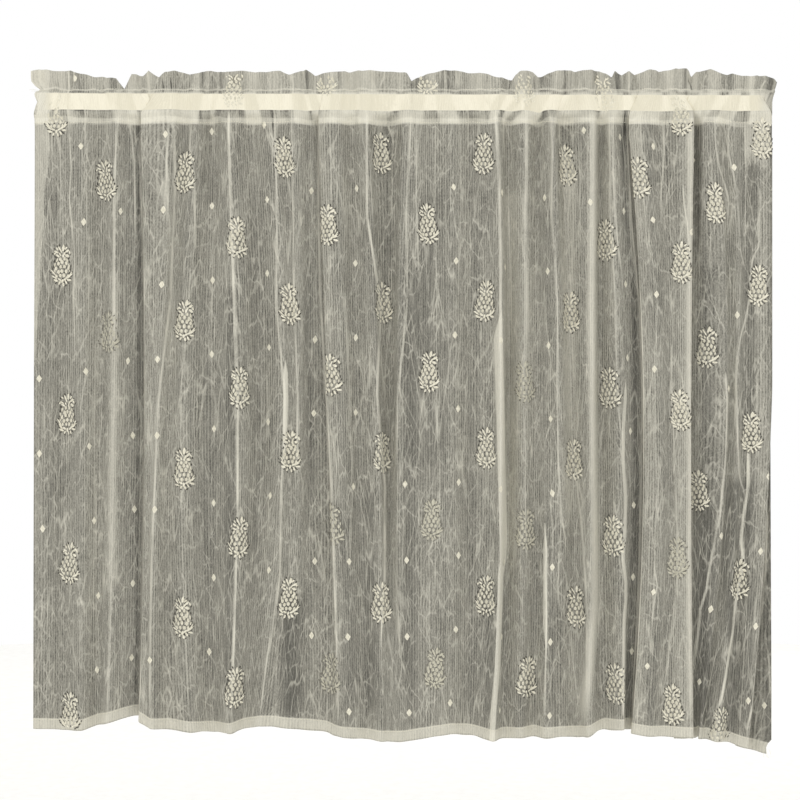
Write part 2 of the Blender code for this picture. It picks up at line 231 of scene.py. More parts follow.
# Top edge of the frill, left to right: x and height
HEADING: tuple[tuple[float, float], ...] = (
    (-2.5, 35.5), (6, 38), (14, 37), (28, 35.5), (41.5, 36), (45.5, 34), (62.5, 30.5), (94, 26.5),
    (103, 15.2), (110.5, 33), (123.5, 30.5), (130.5, 36.5), (143, 28.5), (150, 34.5), (161, 36.5),
    (178, 32), (202, 36.5), (219, 34), (242, 36), (266, 34), (282, 36), (293, 31), (311, 38), (322, 31),
    (339, 34), (392, 37), (426.5, 34), (428.5, 31.5), (432.5, 23.5), (436, 25.5), (449, 32), (471, 37),
    (511, 33), (548, 25.5), (552, 31.5), (557, 34.5), (565, 36.5), (572, 34.5), (578, 28.5), (598, 36),
    (649, 36), (656, 32.5), (662, 27.5), (666, 36), (674.5, 31), (683, 37), (689, 32), (707, 37),
    (720, 35), (749.5, 39.5), (752, 37), (754.5, 29), (761.5, 35.5), (776, 37.5), (795, 31), (801, 33),
    (812, 29.5), (838, 30.4), (842.5, 29), (845.5, 24.5),
)

# Creases placed from the photograph, left to right
# Rows with negative layers paint the shade in hollows and gaps beside folds, as well as thinner net
CREASES = tuple(Crease(layers, half_width, tuple(route)) for layers, half_width, *route in (
    # Left third
    (0.8, 1.2, (26.5, 23), (30, 84), (33, 153), (31, 216)),
    (2.2, 1.1, (39, 21), (42.5, 73), (40, 113), (43, 142), (46.5, 179), (44.5, 227), (47, 279)),
    (0.9, 1.9, (58.5, 21), (60, 67), (59.5, 101), (63, 182), (62, 250)),
    (0.6, 1.3, (34.5, 365), (36.5, 434), (33, 503), (36.5, 571)),
    (0.8, 1.7, (71, 262), (67.5, 365), (70, 480), (66.5, 571)),
    (2.4, 1.6, (96.5, 19), (94.5, 56), (92.5, 101), (93, 260)),
    (1.2, 4.6, (93, 200), (93, 342), (90.5, 480), (88.5, 560)),
    (1.6, 1.6, (89.5, 560), (85, 700)),
    (2.2, 1.3, (107.5, 19), (110.5, 38), (113.5, 67), (114.5, 107), (115, 159)),
    (-0.68, 2.4, (118, 30), (118.5, 119), (119, 176), (118, 342), (116.5, 525), (114.5, 700)),
    (4.2, 1.3, (121, 44), (121, 107), (123, 142), (124.5, 182), (126, 336), (122.5, 543), (120.5, 700)),
    (2.2, 1.6, (156, 21), (152.5, 67), (153.5, 113), (156, 150)),
    (2.3, 1.5, (160.5, 19), (162, 79), (160.5, 130), (156, 227), (143.5, 342), (135, 525), (133, 686)),
    (2.6, 1.3, (179.5, 35), (178, 56), (184, 84), (184.5, 159), (182, 184)),
    (0.9, 1.3, (179, 199), (174, 262), (167.5, 342), (171, 525), (176.5, 692)),
    (0.6, 1.9, (204, 27), (206.5, 136), (200.5, 262), (204, 376)),
    (4, 1.9, (223.5, 21), (226, 130), (230.5, 233), (234, 336), (234, 457), (230.5, 594), (227, 692)),
    (-0.24, 5.1, (250, 101), (252, 227), (256.5, 342), (254.5, 480), (250, 571)),
    # Left of the middle
    (2.1, 1.7, (276, 21), (278.5, 130), (277.5, 233), (287.5, 336), (287.5, 388), (284, 439), (282, 543),
        (275, 594), (266, 646), (260, 700)),
    (2.2, 1.3, (295.5, 19), (297, 130), (298, 233), (302.5, 336), (301.5, 411)),
    (-0.36, 4.1, (313, 27), (314, 227), (316.5, 365), (317.5, 457)),
    (3.4, 1.6, (325.5, 19), (325.5, 130), (328, 233), (334.5, 336), (340.5, 439), (342.5, 491),
        (346, 594), (348.5, 700)),
    (0.8, 1.1, (339, 19), (340.5, 90), (338, 182)),
    (1.4, 1.6, (356.5, 227), (361, 319), (364.5, 422), (362, 525)),
    (3, 1.6, (381.5, 19), (381.5, 130), (397.5, 233), (393, 336), (397.5, 388), (402, 439), (402, 543),
        (397.5, 617)),
    (-0.22, 8.7, (402, 30), (404.5, 130), (412.5, 233), (409, 336), (407, 376)),
    (-0.28, 4.1, (417, 21), (418.5, 79), (416, 130)),
    (2, 1.6, (432, 19), (426.5, 130), (427.5, 233), (417, 336), (415, 405)),
    (1.3, 1.3, (439, 19), (438, 119), (441, 182)),
    (0.8, 1.9, (460.5, 27), (458.5, 130), (463, 233), (460.5, 336), (465.5, 439), (457.5, 571)),
    (0.7, 1.3, (488, 21), (489.5, 113), (486, 216)),
    (0.3, 1.7, (496, 319), (491.5, 422), (495, 525), (490.5, 629)),
    (-0.16, 5.1, (505.5, 27), (506.5, 130), (504, 227)),
    # Middle pleat and right of it
    (3, 2.1, (529, 19), (531.5, 56), (533.5, 101), (534.5, 170), (534, 245), (533, 279)),
    (-0.15, 3.3, (542.5, 296), (544, 422), (545, 520), (541.5, 543), (539, 594), (536.5, 674)),
    (2.6, 1, (538.5, 23), (538.5, 44), (540, 61)),
    (-0.32, 2.1, (551, 19), (551, 67), (549, 130)),
    (2.1, 2.9, (564, 19), (564, 73), (562.5, 130), (564.5, 233), (564, 285)),
    (1.6, 1, (544.5, 127), (546.5, 184), (548, 262)),
    (1.8, 1.1, (562, 371), (563.5, 405), (562.5, 445), (565, 525)),
    (-0.36, 2.1, (580, 23), (578.5, 90), (581, 159)),
    (1.7, 1.7, (591.5, 19), (593.5, 56), (592.5, 130), (596, 170), (599.5, 233)),
    (2.6, 1.2, (599.5, 227), (599.5, 342), (600.5, 411), (602, 439), (605, 480), (609.5, 503)),
    (-0.44, 1.9, (599.5, 21), (600, 50), (601.5, 79)),
    (3, 1.3, (585.5, 489), (587.5, 520), (585.5, 535), (587, 594), (584.5, 700)),
    (1.6, 1, (592.5, 462), (594, 491), (593.5, 525)),
    (1.8, 1.1, (603, 19), (603, 44), (608.5, 67), (614.5, 101), (613, 142)),
    (1, 1.3, (617.5, 33), (619, 130), (616.5, 227), (620, 319)),
    (2.4, 1.2, (622.5, 422), (623.5, 445), (627, 474), (630.5, 525), (633.5, 588), (632.5, 674)),
    (2.3, 5, (640.5, 19), (639.5, 130), (638.5, 233), (640, 342), (643, 480), (643, 571), (636, 646),
        (630.5, 700)),
    (-0.1, 3.7, (648.5, 23), (648.5, 130), (647.5, 216), (650, 285)),
    (2, 1.2, (659, 19), (660, 130), (666, 233), (668, 342), (670.5, 371), (676, 394), (682, 411)),
    (2.4, 1.1, (663.5, 19), (663.5, 90), (668, 159), (674, 199)),
    # Third pleat
    (-0.62, 3.6, (676, 21), (676.5, 56), (679.5, 130), (690, 233), (690, 336), (692, 439), (690, 491),
        (686.5, 543), (682, 646), (680.5, 700)),
    (3.2, 1.3, (681.5, 19), (682, 56), (685.5, 130), (695.5, 233), (699, 336), (698, 411), (695.5, 543),
        (693.5, 594), (690, 646), (687.5, 700)),
    (0.9, 1.6, (694.5, 19), (695.5, 56), (697, 101), (700, 130), (708, 184), (713, 233), (711.5, 336),
        (710.5, 388), (715, 439), (711.5, 491), (709.5, 594), (706, 686)),
    (2.2, 1.2, (721, 19), (723, 56), (721, 84), (718.5, 107), (719.5, 130)),
    (1.6, 1.2, (731, 285), (731, 336), (735.5, 434), (738, 543), (732.5, 594), (725.5, 646), (726.5, 686)),
    (2.4, 1.1, (744, 101), (745, 119), (748.5, 142), (750.5, 170)),
    (1.9, 3.5, (752, 19), (752, 130), (750.5, 233), (750.5, 342), (752, 457), (750.5, 525), (750.5, 583),
        (753, 700)),
    (-0.35, 4.8, (760.5, 21), (761, 73), (761, 130), (759, 170)),
    (0.35, 3.5, (758.5, 182), (758.5, 262), (761, 342), (760, 434)),
    (1, 1.1, (766.5, 19), (767.5, 56), (766, 150), (763, 216)),
    # Slanting folds of the right side
    (2, 1.3, (779.5, 21), (780.5, 46), (784, 74), (793, 98), (796.5, 113), (795.5, 136)),
    (2.2, 1.3, (795.5, 23), (795.5, 58), (802, 87), (807, 122), (809, 170), (813.5, 185), (820.5, 200)),
    (2.4, 1.3, (832, 107), (831, 166), (824, 178), (821.5, 198), (820.5, 226), (816, 250), (809, 271),
        (804.5, 299), (804, 331), (806, 395), (808, 427), (816, 453)),
    (2.8, 1.6, (792, 319), (794, 347), (793, 379), (792, 411), (788.5, 443), (786, 475), (781.5, 493),
        (774.5, 535), (771, 560), (764.5, 583), (763, 603), (760, 632), (757, 649)),
    (5, 2, (819, 405), (819, 439), (814, 475), (811, 503), (814, 529), (804.5, 576), (802, 607),
        (796.5, 632), (792, 660), (787, 684), (778, 707)),
    (3.5, 1.6, (843, 480), (841, 532), (837.5, 580), (832, 614), (828, 652), (824, 689), (817, 718)),
    (1.8, 1.1, (828.5, 315), (828.5, 340), (828, 356)),
    (1.4, 1.1, (841, 617), (844.5, 646), (846, 686)),
    (1.4, 1.3, (816, 33), (817, 90), (815, 159)),
    (1.8, 1.1, (735.5, 588), (731, 617), (726.5, 649), (722, 674)),
    (2, 1.1, (710.5, 537), (714, 554), (709.5, 577), (708, 600)),
    # Soft lighter and darker places: painted light and painted shade over the folds
    (0.25, 9, (545, 30), (545, 110)),
    (0.55, 9, (545.5, 110), (546, 180), (546, 480), (545, 520)),
    (0.75, 9, (614, 60), (614, 480)),
    (0.4, 9, (660, 30), (660, 280)),
    (0.45, 8, (687.5, 40), (687.5, 200)),
    (0.45, 9, (316, 30), (316, 170)),
    (0.4, 8, (568, 200), (568, 330)),
    (0.25, 9, (156, 110), (150, 480)),
    (0.3, 8, (591, 30), (591, 110)),
    (0.3, 8, (407, 215), (409, 290)),
    (0.9, 9, (2, -36), (4, -14)),
    (-0.4, 10, (431, 200), (431, 700)),
    (-0.3, 20, (454, 110), (454, 420)),
    (0.35, 16, (557, 110), (557, 400)),
    (-0.3, 10, (706, 30), (706, 280)),
    (-0.35, 10, (706, 560), (706, 710)),
    (-0.3, 9, (133, 30), (133, 180)),
    (-0.45, 10, (522, 560), (522, 720)),
    (-0.2, 10, (202, 300), (202, 640)),
    (0.17, 10, (64, 200), (64, 700)),
    (-0.25, 9, (591, 480), (591, 700)),
    (-0.45, 8, (637, 30), (637, 110)),
    (-0.15, 12, (18, 110), (18, 560)),
    (-0.2, 9, (500, 310), (498, 700)),
    (-0.25, 8, (385, 110), (386, 200)),
    (-0.45, 8, (385, 440), (385, 700)),
    (-0.3, 9, (362, 400), (362, 700)),
    (-0.75, 13, (295, 570), (295, 710)),
    (-0.45, 9, (225, 220), (225, 700)),
    (-0.25, 8, (133, 560), (133, 710)),
    (-0.35, 9, (772, 200), (772, 460)),
    (-0.7, 11, (770, 460), (768, 720)),
    (-0.55, 11, (798, 440), (798, 720)),
    (-0.35, 10, (822, 40), (822, 440)),
    (-0.6, 11, (820, 440), (820, 730)),
    # Creases that cross the pocket
    (1.5, 1.3, (39.5, -35), (39.8, 0), (39.6, 25)),
    (1.5, 1.3, (129.5, 8), (129.5, 26)),
    (1.6, 1.2, (763.4, 9), (762, 30)),
    (-1, 1.2, (146.7, -20), (149, 2), (151.3, 24)),
    (-0.8, 1.1, (157, -20), (157.5, 0), (157, 20)),
    (-1.6, 1.3, (272.5, 9), (273.5, 22), (274, 33)),
    (-1, 1.2, (427.5, -8), (431, 10), (438, 33)),
    (-1, 1.2, (554.7, -8), (561.5, 12), (565, 26)),
    (-3, 1.1, (676.5, 8), (678.6, 34)),
    # Small pleats of the heading
    (-0.9, 1.3, (101, -25), (102, -18), (103, -12)),
    (1.6, 1.7, (39, -34), (39.5, -20), (38.5, -7)),
    (2, 1.7, (129.5, -34), (130.5, -20), (132, -10)),
    (-1.6, 1, (146.5, -27), (148, -19), (148.5, -11)),
    (-1.6, 1, (156, -27), (157, -20), (157.5, -13)),
    (1.8, 1.6, (220, -32), (221, -20), (220, -10)),
    (-0.6, 1.2, (258, -32), (259, -22), (258, -13)),
    (1.6, 1.6, (295.5, -29), (297, -20), (297, -10)),
    (-0.4, 1.2, (311.5, -34), (311.5, -25), (313, -13)),
    (1.6, 1.3, (340.5, -33), (341.5, -20), (340.5, -10)),
    (-0.32, 1.2, (385, -33), (385, -22), (386, -12)),
    (-0.6, 1.3, (432, -22), (432.5, -18), (433, -11)),
    (1.8, 1.6, (471, -34), (472, -20), (472, -10)),
    (-1.6, 1.2, (546.5, -25), (545.5, -19), (544, -12)),
    (-1.6, 1.2, (573.5, -29), (574, -20), (574.5, -11)),
    (1.8, 1.3, (599.5, -34), (598, -20), (597, -10)),
    (-1.2, 1, (616, -34), (615.5, -22), (615.5, -11)),
    (-1.6, 1.1, (666.5, -32), (667.5, -20), (669.5, -10)),
    (2.2, 1.6, (683, -34), (683, -20), (682, -10)),
    (-0.44, 1, (688.5, -29), (688.5, -20), (687.5, -11)),
    (-1.9, 1.3, (750, -28), (753, -21), (755, -14)),
    (2, 1.3, (766.5, -34), (766, -20), (765.5, -10)),
    (2, 1.3, (839, -25), (835.5, -19), (833, -13)),
))

# Narrow pleats with sharp sides; the first is the side edge, turned back
PLEATS = (
    Pleat(1.15, ((-3.4, -60, 20), (-2.9, 55, 20), (-4.4, 77, 20), (-7.3, 91, 20), (-8.5, 99, 20),
        (-9.7, 143, 20), (-12.9, 182, 20), (-16.6, 240, 20), (-20, 300, 20))),
    Pleat(2.7, ((535.8, 235, -0.8), (534, 252, 2.6), (531.7, 271, 4.9), (534, 342, 4.9),
        (536, 422, 4.9), (538, 503, 4.8), (537.5, 525, 4.2), (534.5, 545, 3.3), (534, 571, 3.2),
        (531, 646, 3.2), (526, 700, 3.2), (524, 740, 3.2))),
    Pleat(3.0, ((288.2, 292, -0.8), (288.6, 312, 2.4), (288.8, 340, 2.5), (288.2, 365, 2.5),
        (287, 400, 1.6), (286.6, 420, -0.8))),
    Pleat(2.2, ((586, 490, -0.8), (586, 510, 2.2), (586, 545, 2.2), (585.5, 600, 2.2),
        (586.5, 618, 1.4), (586.5, 640, -0.8))),
    Pleat(2.4, ((678, 312, -0.8), (678, 336, 2.0), (675, 376, 2.1), (674.5, 411, 2.1),
        (678.4, 457, 2.1), (676.8, 496, 2.1), (674.3, 522, 2.1), (678.4, 551, 2.1),
        (678.4, 572, 2.1), (675.9, 596, 2.1), (675.7, 633, 2.1), (674.7, 692, 1.6),
        (674.7, 712, -0.8))),
)

# Columns of pineapples as they hang, left to right
MOTIF_COLUMNS = tuple(MotifColumn(*row) for row in (
    (24.6, 36.7, 40.7, -15.5, 171.4, "ooooo"), (81.8, 87, 95, -90, 174.2, "of"),
    (173, 172, 168.5, -80.8, 170, "oooo"), (229, 237, 230.5, 15.5, 171.6, "ooooo"),
    (286.5, 294.5, 287.5, -63.6, 168.5, "oooo"), (334.5, 339, 341.5, 30, 171.5, "oooff"),
    (396.5, 399, 396.5, -58, 172, "oooo"), (450.5, 453.2, 460.7, 30.5, 170, "oooff"),
    (515.5, 519, 518, -59, 169.2, "oooo"), (561.5, 563.5, 566, 18, 169.5, "oxffo"),
    (609.5, 617.5, 625.5, -71.5, 169.5, "oooo"), (653, 660, 667, 11, 169.5, "ooooo"),
    (690, 698, 692, -87.5, 170.5, "o"), (741.5, 740.5, 732.5, -15.5, 169, "ooofo"),
    (785, 768.4, 751.8, -116.5, 165, "ooo"), (834.3, 824.6, 790.7, -41.8, 168.7, "ooooo"),
))

# Dots between them, left to right
DOT_COLUMNS = tuple(DotColumn(*row) for row in (
    (318, 85.9, (5, 5, 9.2)),
    (-26.9, 85.8, (46.5,)),
    (52.1, 85.8, (53.9, 56.8, 0, 59.6, 63, 67.6, 72.2, 71.1)),
    (126.6, 85.3, (99.1, 0, 106.6, 112.3, 113.5, 111.7, 110)),
    (38.4, 85.9, (151.3, 149, 146.7, 142.1, 141.8, 138.7, 0, 133.5)),
    (32.7, 85.6, (202.6, 203.1, 204, 202.8, 205.4, 205.1, 205.1, 199.4)),
    (26.4, 85.1, (263.6, 267, 267, 269.3, 268.2, 270.5, 269.3)),
    (101.4, 85.3, (316.9, 0, 320.9, 319.7, 0, 320.9, 317.4)),
    (99.1, 85.7, (370.2, 367.9, 367.9, 367.9, 365.6, 361, 359.9, 361)),
    (438.3, 87.4, (424.8, 426.9, 427.5, 429.8)),
    (98, 84.6, (481.3, 483.6, 482.5, 485.9, 486.5, 486.5, 483.6, 476.7)),
    (104.9, 84.7, (536.3, 539.8, 535.2, 0, 534.6, 538.6, 535.8, 533.5)),
    (109.4, 84.8, (585.6, 589, 590.2, 592.5, 594.8, 593.6, 591.3, 590.2)),
    (33.8, 82.5, (630.3, 637.2)),
    (40.1, 84.5, (672.1, 676.1, 678.4, 680.7, 684.2, 688.8, 687.6, 686.5)),
    (51.6, 85, (709.4, 709.4, 712.6, 710.5, 0, 0, 708.9, 702.5)),
    (65.3, 84.2, (757.1, 752.9)),
    (76.2, 84.3, (802.2, 0, 805.6, 795.9, 0, 787.9, 775.3, 763.6)),
    (429.8, 85.6, (842.3, 832.6, 827, 819)),
    (693.9, 85.6, (840.6,)),
))

# Crown and skirt of a pineapple; no two of its leaves are alike
MOTIF_LEAVES = tuple(Pad(*row) for row in (
    # Crown: leaf on the middle line, long slanting leaf, curled side leaves
    (1.2, 20, 8.2, 3.5, 8), (4.3, 19.2, 4.8, 2.1, 42), (-2.5, 17.8, 10.2, 2.1, -28),
    (-6.4, 18.4, 4.2, 1.8, -42), (6.2, 15.9, 6.2, 2.7, 54), (9, 14.2, 4.2, 2.2, 150),
    (2.5, 13.4, 5.6, 2.1, 30), (-6.3, 14.1, 6, 2.2, -56), (-8.9, 12.9, 3.2, 1.8, -140),
    (-5.6, 10.2, 5.4, 2.4, -60), (-2.6, 11.6, 4.2, 2, -34), (6.1, 10.3, 6.2, 3.1, 118),
    (1.2, 10.3, 4.2, 2.5, 4),
    # Skirt: long leaves that sweep out and up, lobes below
    (-9.6, -9.6, 10.4, 1.7, -34), (-9, -14.2, 8.4, 2.1, -50), (-7.6, -18.1, 6, 2.7, -72),
    (8.4, -13.4, 12, 2.9, 62), (10.4, -10, 5.6, 1.6, 36), (8.9, -17.5, 6.8, 2.6, 100),
    (-3.5, -16.4, 5, 2.3, -58), (3.2, -16.3, 4.8, 2.3, 58), (-0.4, -18, 5.2, 2.6, 8),
    (4.7, -20.2, 5.2, 2.4, -32), (-3.4, -21, 4.8, 2.2, 28), (1.3, -22, 4.8, 2.3, -14),
))

# Right half of its fruit, in staggered cells
MOTIF_FRUIT = tuple(Pad(*row) for row in (
    (2.5, 6.9, 4.4, 3.4, 0), (6.2, 5.4, 5, 2.3, -22), (0, 3.4, 5, 3.8, 0), (4.8, 1.8, 5, 3.6, -4),
    (8.5, 0, 5, 2.1, -12), (2.4, -1.7, 5, 3.8, 0), (7.1, -3.6, 5, 3.3, -4), (0, -6.7, 5, 3.8, 0),
    (4.8, -7.6, 5, 3.6, 2), (9, -7, 4.2, 1.7, 14), (2.4, -12, 4.8, 3.6, 4), (6.6, -12.2, 4.2, 2.8, 18),
))

# Small open places in the net between the leaves, right half; drawn dark, they also paint the shadows
# round the leaves
MOTIF_OPENINGS_AND_SHADOWS = tuple(Pad(*row) for row in (
    (3.4, 22.6, 3.4, 1.4, 20), (5.4, 20.8, 2.8, 1.4, 34), (3, 16.6, 4, 1.5, 30), (8.6, 18, 3, 1.4, 50),
    (5, 13, 4.4, 1.5, 56), (10.6, 12.4, 3, 1.4, 10), (7.4, 8, 4, 1.5, 52), (9.2, 4, 3.6, 1.5, -16),
    (10.4, -2, 3.6, 1.4, 0), (11, -5.6, 3.6, 1.4, 24), (8.4, -11, 6, 1.5, 42),
    (11.6, -12.4, 4, 1.4, 52), (8.8, -15.9, 5.6, 1.4, 64), (13.2, -9, 2.8, 1.3, 30),
    (5.9, -18.2, 3, 1.4, 10), (2.6, -19.6, 3.6, 1.4, -26), (0, -15.4, 3, 1.5, 0),
    (7.4, -20.6, 3.4, 1.4, -56), (3.6, -23.8, 3, 1.3, 50), (2.4, 4.6, 1.9, 1.2, 0),
    (2.4, -4.4, 1.9, 1.2, 0), (4.8, -2.6, 1.7, 1.1, 0), (0, -1.4, 1.9, 1.2, 0),
    (2.4, -9.4, 1.9, 1.2, 0),
))


def ease(low: float, high: float, value: Array) -> Array:
    """Ease from 0 at low to 1 at high.

    Args:
        low: value at which the result leaves 0.
        high: value at which it reaches 1.
        value: numbers to ease.

    Returns:
        The eased shares, between 0 and 1.
    """
    share = np.clip((value - low) / (high - low), 0.0, 1.0)
    return share * share * (3.0 - 2.0 * share)


def mix(a: Any, b: Any, share: Any) -> Any:
    """Blend from a to b by share."""
    return a + (b - a) * share


def through_levels(share: Any, middle: float, top: Any, mid: Any, low: Any) -> Any:
    """Curve through values at three levels.

    Args:
        share: how far down, from 0 at the top level to 1 at the low one.
        middle: share of the middle level.
        top: value at the top level.
        mid: value at the middle level.
        low: value at the low level.

    Returns:
        The value at that share.
    """
    value = top * (share - middle) * (share - 1.0) / middle
    value = value + mid * share * (share - 1.0) / (middle * (middle - 1.0))
    return value + low * share * (share - middle) / (1.0 - middle)


def hex_to_linear(text: str) -> tuple[float, float, float, float]:
    """Turn an sRGB hex colour into a linear one.

    Args:
        text: six hex digits after a hash sign.

    Returns:
        Red, green, blue and an alpha of 1.
    """
    linear = []
    for start in (1, 3, 5):
        value = int(text[start:start + 2], 16) / 255.0
        linear.append(value / 12.92 if value <= 0.04045 else ((value + 0.055) / 1.055) ** 2.4)
    return (linear[0], linear[1], linear[2], 1.0)


@dataclass
class HungLace:
    """Shape in which the lace hangs, worked out from its folds."""

    hung_width: float = 846.0
    flat_width: float = 1200.0
    flat_length: float = 840.0
    top_level: float = -38.0
    mid_level: float = -342.0
    low_level: float = -686.0
    spread_start: float = 14.0
    spread_full: float = -17.0
    fold_start: float = -14.0
    fold_full: float = -31.0
    pocket_fold_share: float = 0.35
    heading_fold_share: float = 0.45
    gather_evening: int = 2
    heading_stitch: float = 14.8
    pocket_above: float = 11.0
    pocket_below: float = -12.0
    pocket_seam: float = -21.0
    pocket_half_depth: float = 5.0
    layer_gap: float = 1.0
    hem_bottom: float = -729.0
    hem_lift_from: float = 0.62
    frill_full: float = 27.0
    flare_left: float = 4.0
    flare_right: float = 7.5
    flare_low: float = -2.0
    flare_reach: float = 40.0
    notch_depth: float = 6.0
    notch_height: float = 3.6
    notch_reach: float = 16.0
    hem_inset: float = 6.0
    right_side: float = 847.0
    straighten_reach: float = 34.0
    shortest_span: float = 0.5
    steps_per_fold: int = 14
    seam_clear: float = 3.0
    turn_weight: float = 1.4
    relief_none: float = -27.0
    relief_full: float = -46.0

    def __post_init__(self) -> None:
        """Turn the fold table into arrays and measure the cloth along it."""
        self.folds = np.array(FOLDS)
        self.last = len(FOLDS) - 1
        places = np.sort(self.folds[:, 0])
        for _ in range(self.gather_evening):
            places[1:-1] = (places[:-2] + places[1:-1] + places[2:]) / 3.0
        self.gathered = places
        heading = np.array(HEADING)
        self.heading_x = heading[:, 0]
        self.heading_z = heading[:, 1]
        self.dense = np.linspace(0.0, self.last, self.last * self.steps_per_fold + 1)
        self.levels = np.arange(-780.0, 60.0, 4.0)
        ends = [self.curve(self.dense, np.full(len(self.dense), level))[0].max()
                for level in self.levels]
        self.right_short = self.right_side - np.array(ends)
        self.unrolled_levels: dict[int, Array] = {}
        self.flat = self.mean_flat(0.0)
        self.spread = self.mean_flat(self.turn_weight)

    def fold_places(self, index: Array, height: Array) -> tuple[Array, Array]:
        """Place of folds at heights.

        Args:
            index: fold numbers.
            height: one height for each.

        Returns:
            x and out of each fold there.
        """
        top, mid, low, out_top, out_mid, out_low, _ = self.folds[np.clip(index, 0, self.last)].T
        share = np.maximum(0.0, (self.top_level - height) / (self.top_level - self.low_level))
        middle = (self.top_level - self.mid_level) / (self.top_level - self.low_level)
        x = through_levels(share, middle, top, mid, low)
        upper = mix(out_top, out_mid, ease(0.0, middle, share))
        lower = mix(out_mid, out_low, ease(middle, 1.0, share))
        out = np.where(share < middle, upper, lower)
        spread = ease(-self.spread_start, -self.spread_full, -height)
        opened = ease(-self.fold_start, -self.fold_full, -height)
        gathered = self.gathered[np.clip(index, 0, self.last)]
        return mix(gathered, x, spread), out * mix(self.pocket_fold_share, 1.0, opened)

    def curve(self, position: Array, height: Array) -> tuple[Array, Array]:
        """Smooth curve of the lace through its folds.

        Args:
            position: places along the fold table.
            height: one height for each.

        Returns:
            x and out of the lace there.
        """
        index = np.clip(position.astype(int), 0, self.last - 1)
        t = position - index
        points = [np.stack(self.fold_places(index + step, height)) for step in (-1, 0, 1, 2)]
        spans = []
        slopes = []
        for near, far in zip(points, points[1:]):
            span = np.maximum(np.hypot(*(far - near)), self.shortest_span)
            spans.append(span)
            slopes.append((far - near) / span)
        leave = (slopes[0] * spans[1] + slopes[1] * spans[0]) / (spans[0] + spans[1])
        arrive = (slopes[1] * spans[2] + slopes[2] * spans[1]) / (spans[1] + spans[2])
        leave = np.where(index == 0, slopes[1], leave) * spans[1]
        arrive = np.where(index == self.last - 1, slopes[1], arrive) * spans[1]
        square = t * t
        cube = square * t
        place = points[1] * (2.0 * cube - 3.0 * square + 1.0) + leave * (cube - 2.0 * square + t)
        place = place + points[2] * (3.0 * square - 2.0 * cube) + arrive * (cube - square)
        return place[0], place[1]

    def mean_flat(self, turn_weight: float) -> Array:
        """Distance along the cloth at the dense positions, over three levels.

        Args:
            turn_weight: millimetres that each radian of turning adds.

        Returns:
            Distances that end at the flat width.
        """
        total = np.zeros(len(self.dense))
        for level in (self.top_level, self.mid_level, self.low_level):
            x, out = self.curve(self.dense, np.full(len(self.dense), level))
            step = np.hypot(np.diff(x), np.diff(out))
            heading = np.unwrap(np.arctan2(np.diff(out), np.diff(x)))
            turn = np.abs(np.diff(heading, prepend=heading[0]))
            arc = np.concatenate(([0.0], np.cumsum(step + turn_weight * turn)))
            total += arc / arc[-1]
        return total / total[-1] * self.flat_width

    def positions(self, count: int) -> Array:
        """Places of evenly spread columns, closer together at the turns."""
        wanted = np.linspace(0.0, self.flat_width, count)
        return np.interp(wanted, self.spread, self.dense)

    def flat_distance(self, position: Array) -> Array:
        """Distance along the flat cloth from its left edge."""
        return np.interp(position, self.dense, self.flat)

    def hem_height(self, position: Array) -> Array:
        """Height of the hem's lower edge."""
        return -np.interp(position, np.arange(self.last + 1), self.folds[:, 6])

    def drop_height(self, position: Array, share: Array) -> Array:
        """Height at shares of the drop, lifted as the hem is.

        Args:
            position: places along the fold table.
            share: 0 at the pocket seam and 1 at the hem.

        Returns:
            One height for each.
        """
        plain = mix(self.pocket_seam, self.hem_bottom, share)
        lift = self.hem_height(position) - self.hem_bottom
        return plain + lift * ease(self.hem_lift_from, 1.0, share)

    def heading_top(self, position: Array) -> Array:
        """Height of the frill's top edge."""
        x, _ = self.curve(position, np.full(len(position), self.heading_stitch))
        return np.interp(x, self.heading_x, self.heading_z)

    def surface(self, position: Array, height: Array, side: Array) -> tuple[Array, Array]:
        """Place of either layer of the heading and pocket, or of the drop.

        Args:
            position: places along the fold table.
            height: one height for each.
            side: 1 for the layer towards the room, -1 for the other.

        Returns:
            x and out of the lace there.
        """
        x, out = self.curve(position, height)
        frill = ease(self.heading_stitch, self.frill_full, height)
        out = out * mix(1.0, self.heading_fold_share / self.pocket_fold_share, frill)
        around = np.minimum(
            ease(self.pocket_seam, self.pocket_below, height),
            1.0 - ease(self.pocket_above, self.heading_stitch, height),
        )
        pressed = np.maximum(0.0, out * side) * side
        out = mix(out, pressed, around)
        gap = mix(self.layer_gap, self.pocket_half_depth, around)
        short = np.interp(height, self.levels, self.right_short)
        short = short * ease(self.pocket_below, self.pocket_seam, height)
        x = x + short * ease(self.straighten_reach, 4.0, self.hung_width - x)
        left = np.maximum(0.0, 1.0 - x / self.flare_reach)
        right = np.maximum(0.0, 1.0 - (self.hung_width - x) / self.flare_reach)
        lean = ease(self.flare_low, self.frill_full, height)
        x = x + lean * self.flare_right * right - frill * self.flare_left * left
        drawn_in = np.exp(-(((height - self.heading_stitch) / self.notch_height) ** 2))
        x = x + self.notch_depth * drawn_in * np.maximum(0.0, 1.0 - x / self.notch_reach)
        return x, out + side * gap

    def front_most(self, x: float, height: float) -> float:
        """Position of the layer nearest to the room.

        Args:
            x: distance from the left edge.
            height: height above the rod.

        Returns:
            Its place along the fold table.
        """
        level = np.full(len(self.dense), height)
        line_x, line_out = self.curve(self.dense, level)
        crossing = np.nonzero((line_x[:-1] - x) * (line_x[1:] - x) <= 0.0)[0]
        if len(crossing) == 0:
            return float(self.dense[np.argmin(np.abs(line_x - x))])
        best = crossing[np.argmax(line_out[crossing])]
        step = line_x[best + 1] - line_x[best]
        share = 0.5 if abs(step) < 1e-9 else (x - line_x[best]) / step
        return float(mix(self.dense[best], self.dense[best + 1], share))

    def hanging(self, height: Array) -> Array:
        """Share of the creases' relief: none at the pocket, all of it below."""
        return 1.0 - ease(self.relief_full, self.relief_none, height)

    def clear_level(self, height: float) -> float:
        """Height at which a place's folds are found: below the seam, not across it."""
        return height if height > 0.0 else min(height, self.fold_full - self.seam_clear)

